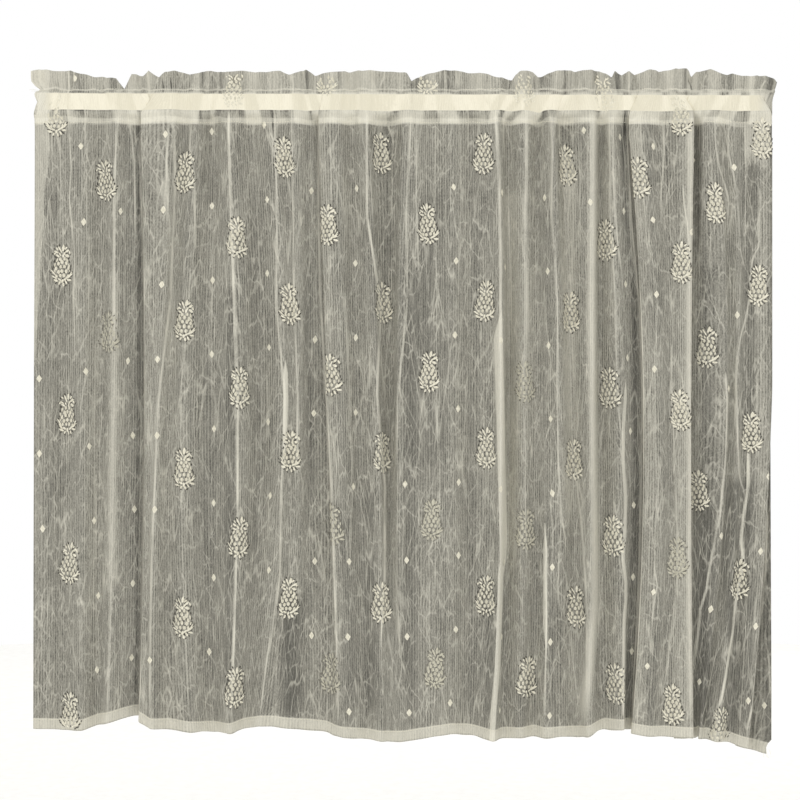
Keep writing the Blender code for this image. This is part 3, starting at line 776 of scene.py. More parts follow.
    def unrolled(self, height: float) -> Array:
        """Measure the cloth along the dense positions.

        Args:
            height: height above the rod, taken to the nearest millimetre.

        Returns:
            Distances from the left edge.
        """
        level = round(height)
        if level not in self.unrolled_levels:
            x, out = self.curve(self.dense, np.full(len(self.dense), float(level)))
            steps = np.hypot(np.diff(x), np.diff(out))
            self.unrolled_levels[level] = np.concatenate(([0.0], np.cumsum(steps)))
        return self.unrolled_levels[level]


def world(x: Array, out: Array, height: Array) -> Array:
    """Turn places on the lace into metres in the frame.

    Args:
        x: distances from the left edge.
        out: distances towards the room.
        height: heights above the middle of the rod.

    Returns:
        An array with a row of three numbers for each place.
    """
    left_edge = -HungLace.hung_width / 2.0
    return np.stack((left_edge + x, -out, height), axis=-1) * MM


@dataclass
class Creases:
    """Listed creases and the small seeded wrinkles between them."""

    families: int = 4
    pleat_families: int = 1
    reach_share: float = 1.6
    reach_extra: float = 2.2
    sharp_limit: float = 3.4
    end_fade: float = 24.0
    end_width: float = 0.45
    ridge: float = 0.55
    smallest_relief: float = 2.4
    widest_relief: float = 6.0
    wrinkle_count: int = 150
    wrinkle_heights: tuple[float, float] = (-720.0, -40.0)
    wrinkle_lean: float = 0.16
    wrinkle_lengths: tuple[float, float] = (22.0, 90.0)
    wrinkle_widths: tuple[float, float] = (2.6, 6.0)
    wrinkle_depth: float = 0.42
    wrinkle_ends: float = 2.2
    seed: int = 27

    def __post_init__(self) -> None:
        """Sort the creases into families whose members keep apart."""
        self.layers = [row.layers for row in CREASES + PLEATS]
        self.routes = []
        for crease in CREASES:
            points = [(x, -drop, crease.half_width) for x, drop in crease.route]
            self.routes.append(np.array(points))
        for pleat in PLEATS:
            self.routes.append(np.array(pleat.route) * (1.0, -1.0, 1.0))
        self.members: list[list[int]] = [[] for _ in range(self.families)]
        for number, crease in enumerate(CREASES):
            if crease.half_width > self.sharp_limit:
                continue
            room = [self.clearance(number, family) for family in self.members]
            self.members[int(np.argmax(room))].append(number)
        self.members.append(list(range(len(CREASES), len(self.routes))))
        rng = np.random.default_rng(self.seed)
        count = self.wrinkle_count
        self.wrinkles = list(zip(
            rng.uniform(0.0, HungLace.hung_width, count),
            rng.uniform(*self.wrinkle_heights, count),
            rng.normal(0.0, self.wrinkle_lean, count),
            rng.uniform(*self.wrinkle_lengths, count),
            rng.uniform(*self.wrinkle_widths, count),
            rng.normal(0.0, 1.0, count) * self.wrinkle_depth,
        ))

    def reach(self, number: int) -> float:
        """How far from its line a crease still counts."""
        return float(self.routes[number][:, 2].max()) * self.reach_share + self.reach_extra

    def clearance(self, number: int, family: list[int]) -> float:
        """Least room between a crease and the members of a family.

        Args:
            number: the crease.
            family: numbers of those already in it.

        Returns:
            Millimetres to spare, negative where two come too close.
        """
        route = self.routes[number]
        least = 1000.0
        for other in family:
            line = self.routes[other]
            high = min(route[0, 1], line[0, 1])
            low = max(route[-1, 1], line[-1, 1])
            if high < low:
                continue
            heights = np.linspace(low, high, 12)
            apart = np.abs(self.line_x(number, heights) - self.line_x(other, heights)).min()
            least = min(least, apart - self.reach(number) - self.reach(other))
        return least

    def line_x(self, number: int, height: Array) -> Array:
        """x of a crease's line at heights, which run up."""
        route = self.routes[number][::-1]
        return np.interp(height, route[:, 1], route[:, 0])

    def half_width(self, number: int, height: Array) -> Array:
        """Half width of a crease at heights."""
        route = self.routes[number][::-1]
        return np.interp(height, route[:, 1], route[:, 2])

    def presence(self, number: int, height: Array) -> Array:
        """How much of a crease is there, fading at its two ends; a pleat is whole.

        Args:
            number: the crease.
            height: heights asked for.

        Returns:
            Shares between 0 and 1.
        """
        route = self.routes[number]
        if number >= len(CREASES):
            return ((height <= route[0, 1]) & (height >= route[-1, 1])).astype(float)
        fade = min(self.end_fade, (route[0, 1] - route[-1, 1]) * 0.35)
        upper = 1.0 - ease(route[0, 1], route[0, 1] + fade * 0.5, height)
        return upper * ease(route[-1, 1] - fade, route[-1, 1] + fade, height)

    def relief(self, x: Array, height: Array) -> Array:
        """How far the creases and wrinkles stand out.

        Args:
            x: distances from the left edge.
            height: one height for each.

        Returns:
            Millimetres towards the room.
        """
        total = np.zeros(len(x))
        for number, layers in enumerate(self.layers):
            if self.routes[number][:, 2].max() > self.widest_relief:
                continue
            width = np.maximum(self.half_width(number, height), self.smallest_relief)
            away = (x - self.line_x(number, height)) / width
            lift = self.ridge * min(1.0, abs(layers) * 0.5) * math.copysign(1.0, layers)
            total += lift * np.exp(-away * away) * self.presence(number, height)
        for centre_x, centre_z, lean, length, width, depth in self.wrinkles:
            along = (height - centre_z) / length
            near = np.abs(along) < self.wrinkle_ends
            away = (x[near] - centre_x - lean * (height[near] - centre_z)) / width
            total[near] += depth * np.exp(-away * away - along[near] * along[near])
        return total

    def broad_layers_and_painted_shading(self, x: Array, height: Array) -> Array:
        """Layers that the broad creases add or take, with the painted light and painted shade of the soft
        places.

        Args:
            x: distances from the left edge.
            height: one height for each.

        Returns:
            Layers to add.
        """
        total = np.zeros(len(x))
        for number, crease in enumerate(CREASES):
            if crease.half_width <= self.sharp_limit:
                continue
            away = (x - self.line_x(number, height)) / crease.half_width
            total += crease.layers * np.exp(-away * away) * self.presence(number, height)
        return total

    def family_fields(self, family: int, x: Array, height: Array) -> Array:
        """Signed distance, layers and half width of the nearest crease.

        A signed distance stays sharp between the points of the mesh, which a
        brightness at each point would not.

        Args:
            family: number of the family.
            x: distances from the left edge.
            height: one height for each.

        Returns:
            A row of three numbers for each place.
        """
        fields = np.zeros((len(x), 3))
        fields[:, 0] = 100.0
        fields[:, 2] = 1.0
        for number in self.members[family]:
            away = x - self.line_x(number, height)
            there = self.presence(number, height)
            closer = (np.abs(away) < np.abs(fields[:, 0])) & (there > 0.0)
            within = np.abs(away) < self.reach(number)
            width = self.half_width(number, height) * mix(self.end_width, 1.0, there)
            fields[closer, 0] = away[closer]
            fields[closer, 1] = np.where(within, self.layers[number] * there, 0.0)[closer]
            fields[closer, 2] = width[closer]
        return fields


def add_node(
    tree: Tree,
    kind: str,
    inputs: dict[int | str, Any] | tuple[Any, ...] = (),
    output: int = 0,
    **settings: Any,
) -> Socket | None:
    """Add a node with its settings and links.

    Args:
        tree: node tree of the material.
        kind: type name of the node.
        inputs: a socket to link or a value to set for each input, in order or by name.
        output: number of the output to return.
        settings: values of the node's own properties.

    Returns:
        The chosen output, or None where the node has none.
    """
    node = tree.nodes.new(kind)
    for name, value in settings.items():
        setattr(node, name, value)
    named = inputs if isinstance(inputs, dict) else dict(enumerate(inputs))
    for name, value in named.items():
        if isinstance(value, Socket):
            tree.links.new(value, node.inputs[name])
        else:
            node.inputs[name].default_value = value
    return node.outputs[output] if node.outputs else None


def blank_material(name: str) -> tuple[bpy.types.Material, Tree]:
    """Make a material with an empty node tree.

    Args:
        name: what the real material is.

    Returns:
        The material and its tree.
    """
    material = bpy.data.materials.new(name)
    material.use_nodes = True
    material.node_tree.nodes.clear()
    return material, material.node_tree


class Band(NamedTuple):
    """Stretch of heights where the net looks denser or thinner."""

    low: float
    high: float
    soft: float
    layers: float


class Crinkle(NamedTuple):
    """One set of fine pressed lines: width, length, lean and layers added."""

    wide: float
    long: float
    lean: float = 0.0
    layers: float = 1.0

    def drawn_out(self) -> dict[str, tuple[float, float, float]]:
        """Turn and scale that draw a pattern out along the cloth."""
        return {"Rotation": (0.0, 0.0, math.radians(self.lean)),
                "Scale": (self.wide * MM, self.long * MM, 1.0)}


@dataclass(frozen=True)
class KnittedNet:
    """Warp-knitted ecru polyester net, heat-set, matt and sheer.

    It shows as cream threads over the dark between them, so where more layers
    lie over each other, or the cloth turns away, more thread shows and the
    lace looks lighter.
    """

    name: str = "warp_knitted_polyester_net"
    thread: str = "#ebe7d7"
    gap: str = "#44433e"
    rod_thin: str = "#f0ead6"
    rod_dense: str = "#e0dac5"
    rod_thin_layers: float = 1.2
    rod_dense_layers: float = 4.6
    layer_cover: float = 0.345
    thinnest: float = 0.16
    roughness: float = 0.9
    gloss: float = 0.15
    # The real wales are about 1.1 mm apart, finer than a picture of the whole
    # shows, so they are drawn at 2.9 mm
    wale_pitch: float = 2.9
    wale_share: float = 0.3
    wale_sway: tuple[float, float, float] = (30.0, 140.0, 1.6)
    # Width, length and share of the uneven knitting, fine to cloudy
    unevenness: tuple[tuple[float, float, float], ...] = (
        (1.6, 10.0, 0.56), (1.5, 130.0, 0.46), (1.0, 2.4, 0.8),
    )
    cloud: tuple[float, float, float] = (24.0, 80.0, 0.34)
    # Layers at which texture is whole, and at which layers have evened it out
    calm_from: float = 1.2
    calm_to: float = 2.4
    calm_share: float = 0.42
    crinkle_sets: tuple[Crinkle, ...] = (
        Crinkle(16.0, 190.0, 3.0, 1.1),
        Crinkle(14.0, 150.0, -8.0, 1.0),
        Crinkle(12.0, 110.0, 13.0, 0.75),
        Crinkle(12.0, 100.0, -16.0, 0.7),
    )
    crinkle_line: float = 0.35
    crinkle_shown: tuple[float, float] = (-0.04, 0.14)
    web_sets: tuple[Crinkle, ...] = (
        Crinkle(10.0, 62.0, 6.0, 1.15),
        Crinkle(12.0, 44.0, -15.0, 0.95),
        Crinkle(7.0, 26.0, 12.0, 0.75),
    )
    web_line: float = 0.62
    web_bend: float = 0.6
    web_shown: tuple[float, float] = (-0.1, 0.16)
    crease_reach: float = 1.35
    # Shares of its strength between which a crease wanders along its length
    crease_weakest: float = 0.3
    crease_strongest: float = 1.1
    pleat_edge: float = 0.7
    relief: float = 0.5
    relief_strength: float = 0.35
    # Closed seam of the pocket, heading stitches and open net over the rod, with a painted shadow line
    # under the rod and a painted shade line under the heading stitches
    pocket_bands_and_shadows: tuple[Band, ...] = (
        Band(-24.2, -18.4, 0.7, 0.92),
        Band(-18.4, -9.0, 0.6, -0.4),
        # Painted shadow: a thin dark line right under the rod
        Band(-11.2, -9.4, 0.5, -0.5),
        Band(12.9, 15.1, 0.6, 1.5),
        # Painted shade: a dark line under the heading stitches, above the rod
        Band(10.2, 12.6, 0.7, -0.4),
    )
    rod_band: Band = Band(-9.6, 9.5, 0.45, 1.0)
    hem_bands: tuple[Band, ...] = (
        Band(-9.0, 12.8, 0.6, 2.3),
        Band(11.4, 13.2, 0.5, 0.5),
        Band(-9.0, 1.2, 0.6, -1.2),
    )

    def material(self, families: int, pleats: int) -> bpy.types.Material:
        """Make the net.

        Args:
            families: how many families of pressed lines the mesh carries.
            pleats: how many families of pleats follow them.

        Returns:
            The finished material.
        """
        material, tree = blank_material(self.name)
        flat = add_node(tree, "ShaderNodeAttribute", output=1, attribute_name="flat_place")
        layers = add_node(tree, "ShaderNodeAttribute", output=2, attribute_name="layers")
        heights = add_node(tree, "ShaderNodeAttribute", output=1, attribute_name="heights")
        level = add_node(tree, "ShaderNodeSeparateXYZ", (heights,)).node.outputs
        drawing = NetDrawing(self, tree, flat)
        texture = drawing.texture()
        crinkles = drawing.webbed(drawing.crinkled())
        total = drawing.creased(families, pleats, layers)
        for band in self.pocket_bands_and_shadows:
            total = drawing.banded(level[0], band, total)
        for band in self.hem_bands:
            total = drawing.banded(level[1], band, total)
        values = (total, self.calm_from, self.calm_to, 1.0, self.calm_share)
        calm = add_node(tree, "ShaderNodeMapRange", values)
        rough = drawing.uneven(self.cloud, texture)
        rough = add_node(tree, "ShaderNodeMath", (rough, 1.0), operation="SUBTRACT")
        factor = add_node(tree, "ShaderNodeMath", (rough, calm, 1.0), operation="MULTIPLY_ADD")
        lines = add_node(tree, "ShaderNodeMath", (crinkles, calm), operation="MULTIPLY")
        density = add_node(tree, "ShaderNodeMath", (total, factor, lines), operation="MULTIPLY_ADD")
        density = add_node(tree, "ShaderNodeMath", (density, self.thinnest), operation="MAXIMUM")
        clear = add_node(tree, "ShaderNodeMath", (density, -self.layer_cover), operation="MULTIPLY")
        clear = add_node(tree, "ShaderNodeMath", (clear,), operation="EXPONENT")
        inputs = {0: clear, 6: hex_to_linear(self.thread), 7: hex_to_linear(self.gap)}
        net = add_node(tree, "ShaderNodeMix", inputs, output=2, data_type="RGBA")
        values = (density, self.rod_thin_layers, self.rod_dense_layers)
        gather = add_node(tree, "ShaderNodeMapRange", values)
        inputs = {0: gather, 6: hex_to_linear(self.rod_thin), 7: hex_to_linear(self.rod_dense)}
        rod = add_node(tree, "ShaderNodeMix", inputs, output=2, data_type="RGBA")
        shown = drawing.banded(level[0], self.rod_band, 0.0)
        shown = add_node(tree, "ShaderNodeMath", (shown, level[2]), operation="MULTIPLY")
        colour = add_node(tree, "ShaderNodeMix", {0: shown, 6: net, 7: rod}, output=2, data_type="RGBA")
        raised = add_node(tree, "ShaderNodeMath", (texture, crinkles), operation="ADD")
        inputs = {"Strength": self.relief_strength, "Distance": self.relief * MM, "Height": raised}
        bump = add_node(tree, "ShaderNodeBump", inputs)
        inputs = {"Base Color": colour, "Roughness": self.roughness, "IOR": 1.5, "Normal": bump,
                  "Specular IOR Level": self.gloss}
        shader = add_node(tree, "ShaderNodeBsdfPrincipled", inputs)
        add_node(tree, "ShaderNodeOutputMaterial", {"Surface": shader})
        return material


@dataclass
class NetDrawing:
    """Node tree of the net while its parts are drawn over the flat cloth."""

    net: KnittedNet
    tree: Tree
    flat: Socket

    def stretched_noise(self, shape: Crinkle, detail: float) -> Socket:
        """Smooth noise drawn out along the cloth and leaning.

        Args:
            shape: size and lean of its features.
            detail: how many finer octaves it carries.

        Returns:
            The noise less its middle value.
        """
        inputs = {"Vector": self.flat, **shape.drawn_out()}
        place = add_node(self.tree, "ShaderNodeMapping", inputs, vector_type="TEXTURE")
        inputs = {"Vector": place, "Scale": 1.0, "Detail": detail, "Roughness": 0.5}
        noise = add_node(self.tree, "ShaderNodeTexNoise", inputs, noise_dimensions="2D")
        return add_node(self.tree, "ShaderNodeMath", (noise, 0.5), operation="SUBTRACT")

    def uneven(self, size: tuple[float, float, float], base: Any) -> Socket:
        """Add noise centred on nought to a value.

        Args:
            size: width and length of its patches in millimetres, and its share.
            base: value that it is added to.

        Returns:
            The sum.
        """
        wide, long, share = size
        noise = self.stretched_noise(Crinkle(wide, long), 2.0)
        values = (noise, 2.0 * share, base)
        return add_node(self.tree, "ShaderNodeMath", values, operation="MULTIPLY_ADD")

    def banded(self, level: Socket, band: Band, base: Any) -> Socket:
        """Add a band's layers to a value.

        Args:
            level: height in millimetres.
            band: where it lies and what it adds.
            base: value that it is added to.

        Returns:
            The sum.
        """
        values = (level, band.low - band.soft, band.low + band.soft)
        lower = add_node(self.tree, "ShaderNodeMapRange", values, **SMOOTH)
        values = (level, band.high + band.soft, band.high - band.soft)
        upper = add_node(self.tree, "ShaderNodeMapRange", values, **SMOOTH)
        inside = add_node(self.tree, "ShaderNodeMath", (lower, upper), operation="MULTIPLY")
        values = (inside, band.layers, base)
        return add_node(self.tree, "ShaderNodeMath", values, operation="MULTIPLY_ADD")

    def broken(self, shape: Crinkle, ends: tuple[float, float], line: Socket, base: Any) -> Socket:
        """Add lines to a value in broken lengths, where a coarser noise lets them show.

        Args:
            shape: size of the noise, and the layers that the lines add.
            ends: noise at which they start to show, and at which they are whole.
            line: the lines.
            base: value that they are added to.

        Returns:
            The sum.
        """
        shown = self.stretched_noise(shape, 1.0)
        values = (shown, *ends, 0.0, shape.layers)
        there = add_node(self.tree, "ShaderNodeMapRange", values, **SMOOTH)
        return add_node(self.tree, "ShaderNodeMath", (line, there, base), operation="MULTIPLY_ADD")

    def crinkled(self) -> Socket:
        """Fine pressed lines that cross at a slant, from folding and washing.

        Each set is the contour of a smooth stretched noise at its middle value.

        Returns:
            Layers that the lines add.
        """
        total: Any = 0.0
        for shape in self.net.crinkle_sets:
            noise = self.stretched_noise(shape, 0.6)
            away = add_node(self.tree, "ShaderNodeMath", (noise,), operation="ABSOLUTE")
            values = (away, self.net.crinkle_line / shape.wide, 0.0)
            line = add_node(self.tree, "ShaderNodeMapRange", values, **SMOOTH)
            wider = shape._replace(wide=shape.wide * 1.4, long=shape.long * 0.35)
            total = self.broken(wider, self.net.crinkle_shown, line, total)
        return total

    def webbed(self, base: Any) -> Socket:
        """Add a broken web of fine curved lines, as crumpled net keeps.

        The lines are the borders of bent, drawn-out cells.

        Args:
            base: value that they are added to.

        Returns:
            The sum.
        """
        bend = (self.net.web_bend,) * 3
        for shape in self.net.web_sets:
            inputs = {"Vector": self.flat, **shape.drawn_out()}
            place = add_node(self.tree, "ShaderNodeMapping", inputs, vector_type="TEXTURE")
            inputs = {"Vector": place, "Scale": 1.3, "Detail": 2.0}
            drift = add_node(self.tree, "ShaderNodeTexNoise", inputs, output=1, noise_dimensions="2D")
            values = (drift, bend, place)
            bent = add_node(self.tree, "ShaderNodeVectorMath", values, operation="MULTIPLY_ADD")
            edge = add_node(
                self.tree, "ShaderNodeTexVoronoi", {"Vector": bent, "Scale": 1.0},
                voronoi_dimensions="2D", feature="DISTANCE_TO_EDGE",
            )
            values = (edge, self.net.web_line / shape.wide, 0.0)
            line = add_node(self.tree, "ShaderNodeMapRange", values, **SMOOTH)
            wider = shape._replace(wide=shape.wide * 1.9, long=shape.long * 1.1)
            base = self.broken(wider, self.net.web_shown, line, base)
        return base

    def creased(self, families: int, pleats: int, base: Any) -> Socket:
        """Add pressed lines and narrow pleats, drawn from the distance to each. The dark lines stand for
        thinner net in the hollows and paint the shade beside the folds.

        Args:
            families: how many families of pressed lines the mesh carries.
            pleats: how many families of pleats follow them.
            base: value that they are added to.

        Returns:
            The sum.
        """
        wander = self.stretched_noise(Crinkle(14.0, 48.0), 2.0)
        values = (wander, -0.2, 0.2, self.net.crease_weakest, self.net.crease_strongest)
        wander = add_node(self.tree, "ShaderNodeMapRange", values)
        for family in range(families + pleats):
            name = f"creases_{family}"
            fields = add_node(self.tree, "ShaderNodeAttribute", output=1, attribute_name=name)
            parts = add_node(self.tree, "ShaderNodeSeparateXYZ", (fields,)).node.outputs
            away = add_node(self.tree, "ShaderNodeMath", (parts[0],), operation="ABSOLUTE")
            if family < families:
                share = add_node(self.tree, "ShaderNodeMath", (away, parts[2]), operation="DIVIDE")
                values = (share, self.net.crease_reach, 0.0)
            else:
                past = add_node(self.tree, "ShaderNodeMath", (away, parts[2]), operation="SUBTRACT")
                values = (past, self.net.pleat_edge, -self.net.pleat_edge)
            profile = add_node(self.tree, "ShaderNodeMapRange", values, **SMOOTH)
            if family < families:
                profile = add_node(self.tree, "ShaderNodeMath", (profile, wander), operation="MULTIPLY")
            values = (profile, parts[1], base)
            base = add_node(self.tree, "ShaderNodeMath", values, operation="MULTIPLY_ADD")
        return base

    def texture(self) -> Socket:
        """Swaying wales of the knitting and its finer unevenness.

        Returns:
            The texture, spread about 1.
        """
        across = add_node(self.tree, "ShaderNodeSeparateXYZ", (self.flat,))
        sway = self.uneven(self.net.wale_sway, 0.0)
        values = (across, 2.0 * math.pi / (self.net.wale_pitch * MM), sway)
        phase = add_node(self.tree, "ShaderNodeMath", values, operation="MULTIPLY_ADD")
        wale = add_node(self.tree, "ShaderNodeMath", (phase,), operation="SINE")
        values = (wale, self.net.wale_share, 1.0)
        texture = add_node(self.tree, "ShaderNodeMath", values, operation="MULTIPLY_ADD")
        for size in self.net.unevenness:
            texture = self.uneven(size, texture)
        return texture


@dataclass(frozen=True)
class FineFinish:
    """Plain finish with fine uneven colour and a shallow relief."""

    name: str
    light: str
    dark: str
    roughness: float
    roughness_spread: float
    grain: float
    stretch: tuple[float, float, float]
    relief: float
    ior: float = 1.5
    sheen: float = 0.0

    def material(self) -> bpy.types.Material:
        """Make the finish from its sizes, in millimetres.

        Returns:
            The finished material.
        """
        material, tree = blank_material(self.name)
        place = add_node(tree, "ShaderNodeTexCoord", output=3)
        sizes = tuple(value / (self.grain * MM) for value in self.stretch)
        place = add_node(tree, "ShaderNodeVectorMath", (place, sizes), operation="MULTIPLY")
        noise = add_node(tree, "ShaderNodeTexNoise", {"Vector": place, "Scale": 1.0, "Detail": 3.0})
        even = add_node(tree, "ShaderNodeMapRange", (noise, 0.3, 0.7))
        inputs = {0: even, 6: hex_to_linear(self.dark), 7: hex_to_linear(self.light)}
        colour = add_node(tree, "ShaderNodeMix", inputs, output=2, data_type="RGBA")
        spread = self.roughness_spread
        values = (noise, 0.0, 1.0, self.roughness - spread, self.roughness + spread)
        rough = add_node(tree, "ShaderNodeMapRange", values)
        inputs = {"Strength": 0.5, "Distance": self.relief * MM, "Height": noise}
        bump = add_node(tree, "ShaderNodeBump", inputs)
        inputs = {"Base Color": colour, "Roughness": rough, "IOR": self.ior, "Normal": bump,
                  "Sheen Weight": self.sheen}
        shader = add_node(tree, "ShaderNodeBsdfPrincipled", inputs)
        add_node(tree, "ShaderNodeOutputMaterial", {"Surface": shader})
        return material


# Pattern threads of the same polyester, packed side by side: matt, nearly
# closed and lighter than the net round them, with a fine lengthwise grain
CLOTHWORK = FineFinish(
    "raised_polyester_clothwork", "#f1ecda", "#cfcab5", 0.85, 0.05, 1.4, (1.0, 1.0, 0.5), 0.25
)

# The same threads worked a little more open in the cells of the fruit, so that
# these look greyer than the leaves
FRUITWORK = FineFinish(
    "open_polyester_clothwork", "#e6e1ce", "#c2bda9", 0.87, 0.05, 1.4, (1.0, 1.0, 0.5), 0.25
)

# The same threads under another layer of net, which greys them
COVERED_WORK = FineFinish(
    "clothwork_under_net", "#d0ccb9", "#aeaa98", 0.9, 0.04, 1.4, (1.0, 1.0, 0.5), 0.15
)

# The open places and painted shadows round those leaves, greyed in the same way
COVERED_NET_AND_SHADOW = FineFinish(
    "open_net_under_net", "#7f7c71", "#69665c", 0.9, 0.04, 1.8, (1.0, 1.0, 0.6), 0.1
)

# Net drawn open by the pattern threads round each leaf, mostly the dark behind, drawn dark enough to paint
# the shadows round the leaves as well
OPEN_NET_AND_SHADOW = FineFinish(
    "open_net_at_pattern_edge", "#55524a", "#3b3932", 0.9, 0.05, 1.8, (1.0, 1.0, 0.6), 0.1
)

# Spun polyester sewing thread, a little glossier than the net
SEWING_THREAD = FineFinish(
    "spun_polyester_sewing_thread", "#efebda", "#d2cdba", 0.65, 0.08, 0.8, (1.0, 1.0, 1.0), 0.1
)

# Steel bar under baked cream enamel: satin, with faint orange peel
BAKED_ENAMEL = FineFinish(
    "baked_cream_enamel_on_steel", "#efead7", "#e6e0ca", 0.38, 0.06, 5.0, (0.4, 1.0, 1.0), 0.05
)

# Woven satin tape: smooth, with ribs across it that are drawn at 1.6 mm
SATIN_TAPE = FineFinish(
    "woven_satin_label_tape", "#f0eddf", "#d9d5c4", 0.55, 0.06, 1.6, (0.15, 1.0, 1.0), 0.15,
    sheen=0.2,
)

# Matt painted board: pale and even, with a faint roller texture
PAINTED_BOARD = FineFinish(
    "matt_painted_board", "#fbfaf7", "#f6f5f1", 0.9, 0.03, 14.0, (1.0, 1.0, 1.0), 0.1
)


def mesh_piece(
    name: str, points: Array, faces: list[tuple[int, ...]], material: bpy.types.Material
) -> Piece:
    """Make a smooth mesh object that rides on the part.

    Args:
        name: name of the piece.
        points: a row of metres for each point.
        faces: point numbers of each face.
        material: its finish.

    Returns:
        The object, linked to the scene.
    """
    mesh = bpy.data.meshes.new(name)
    mesh.from_pydata(points.tolist(), [], faces)
    mesh.shade_smooth()
    mesh.materials.append(material)
    piece = bpy.data.objects.new(name, mesh)
    bpy.context.scene.collection.objects.link(piece)
    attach(piece, "root")
    return piece


def grid_faces(columns: int, rows: int) -> list[tuple[int, ...]]:
    """Faces of a grid whose points run down one column after another.

    Args:
        columns: number of columns.
        rows: points in each.

    Returns:
        Quads that face the room where rows run down and columns to the right.
    """
    faces = []
    for column in range(columns - 1):
        for row in range(rows - 1):
            corner = column * rows + row
            faces.append((corner, corner + 1, corner + rows + 1, corner + rows))
    return faces


def smooth_random(rng: np.random.Generator, spacing: float, at: Array) -> Array:
    """Smooth random values along a length.

    Args:
        rng: source of the draws.
        spacing: distance between independent values.
        at: distances, none negative.

    Returns:
        One value for each, spread about nought.
    """
    count = int(at.max() / spacing) + 3
    knots = rng.normal(0.0, 1.0, count)
    place = at / spacing
    index = place.astype(int)
    share = ease(0.0, 1.0, place - index)
    return mix(knots[index], knots[index + 1], share)


class RowKind(Enum):
    """What a row's value is measured from."""

    LEVEL = "height above the middle of the rod"
    FRILL = "share of the frill, from its stitching to its top"
    DROP = "share of the drop, from the pocket seam to the hem"
    HEM = "height above the hem's lower edge"


class Row(NamedTuple):
    """One row of points across the whole lace.

    side is 1 on the layer towards the room and -1 on the one towards the
    wall; behind is how far the row stands behind the plain surface.
    """

    kind: RowKind
    value: float
    side: float
    behind: float = 0.0


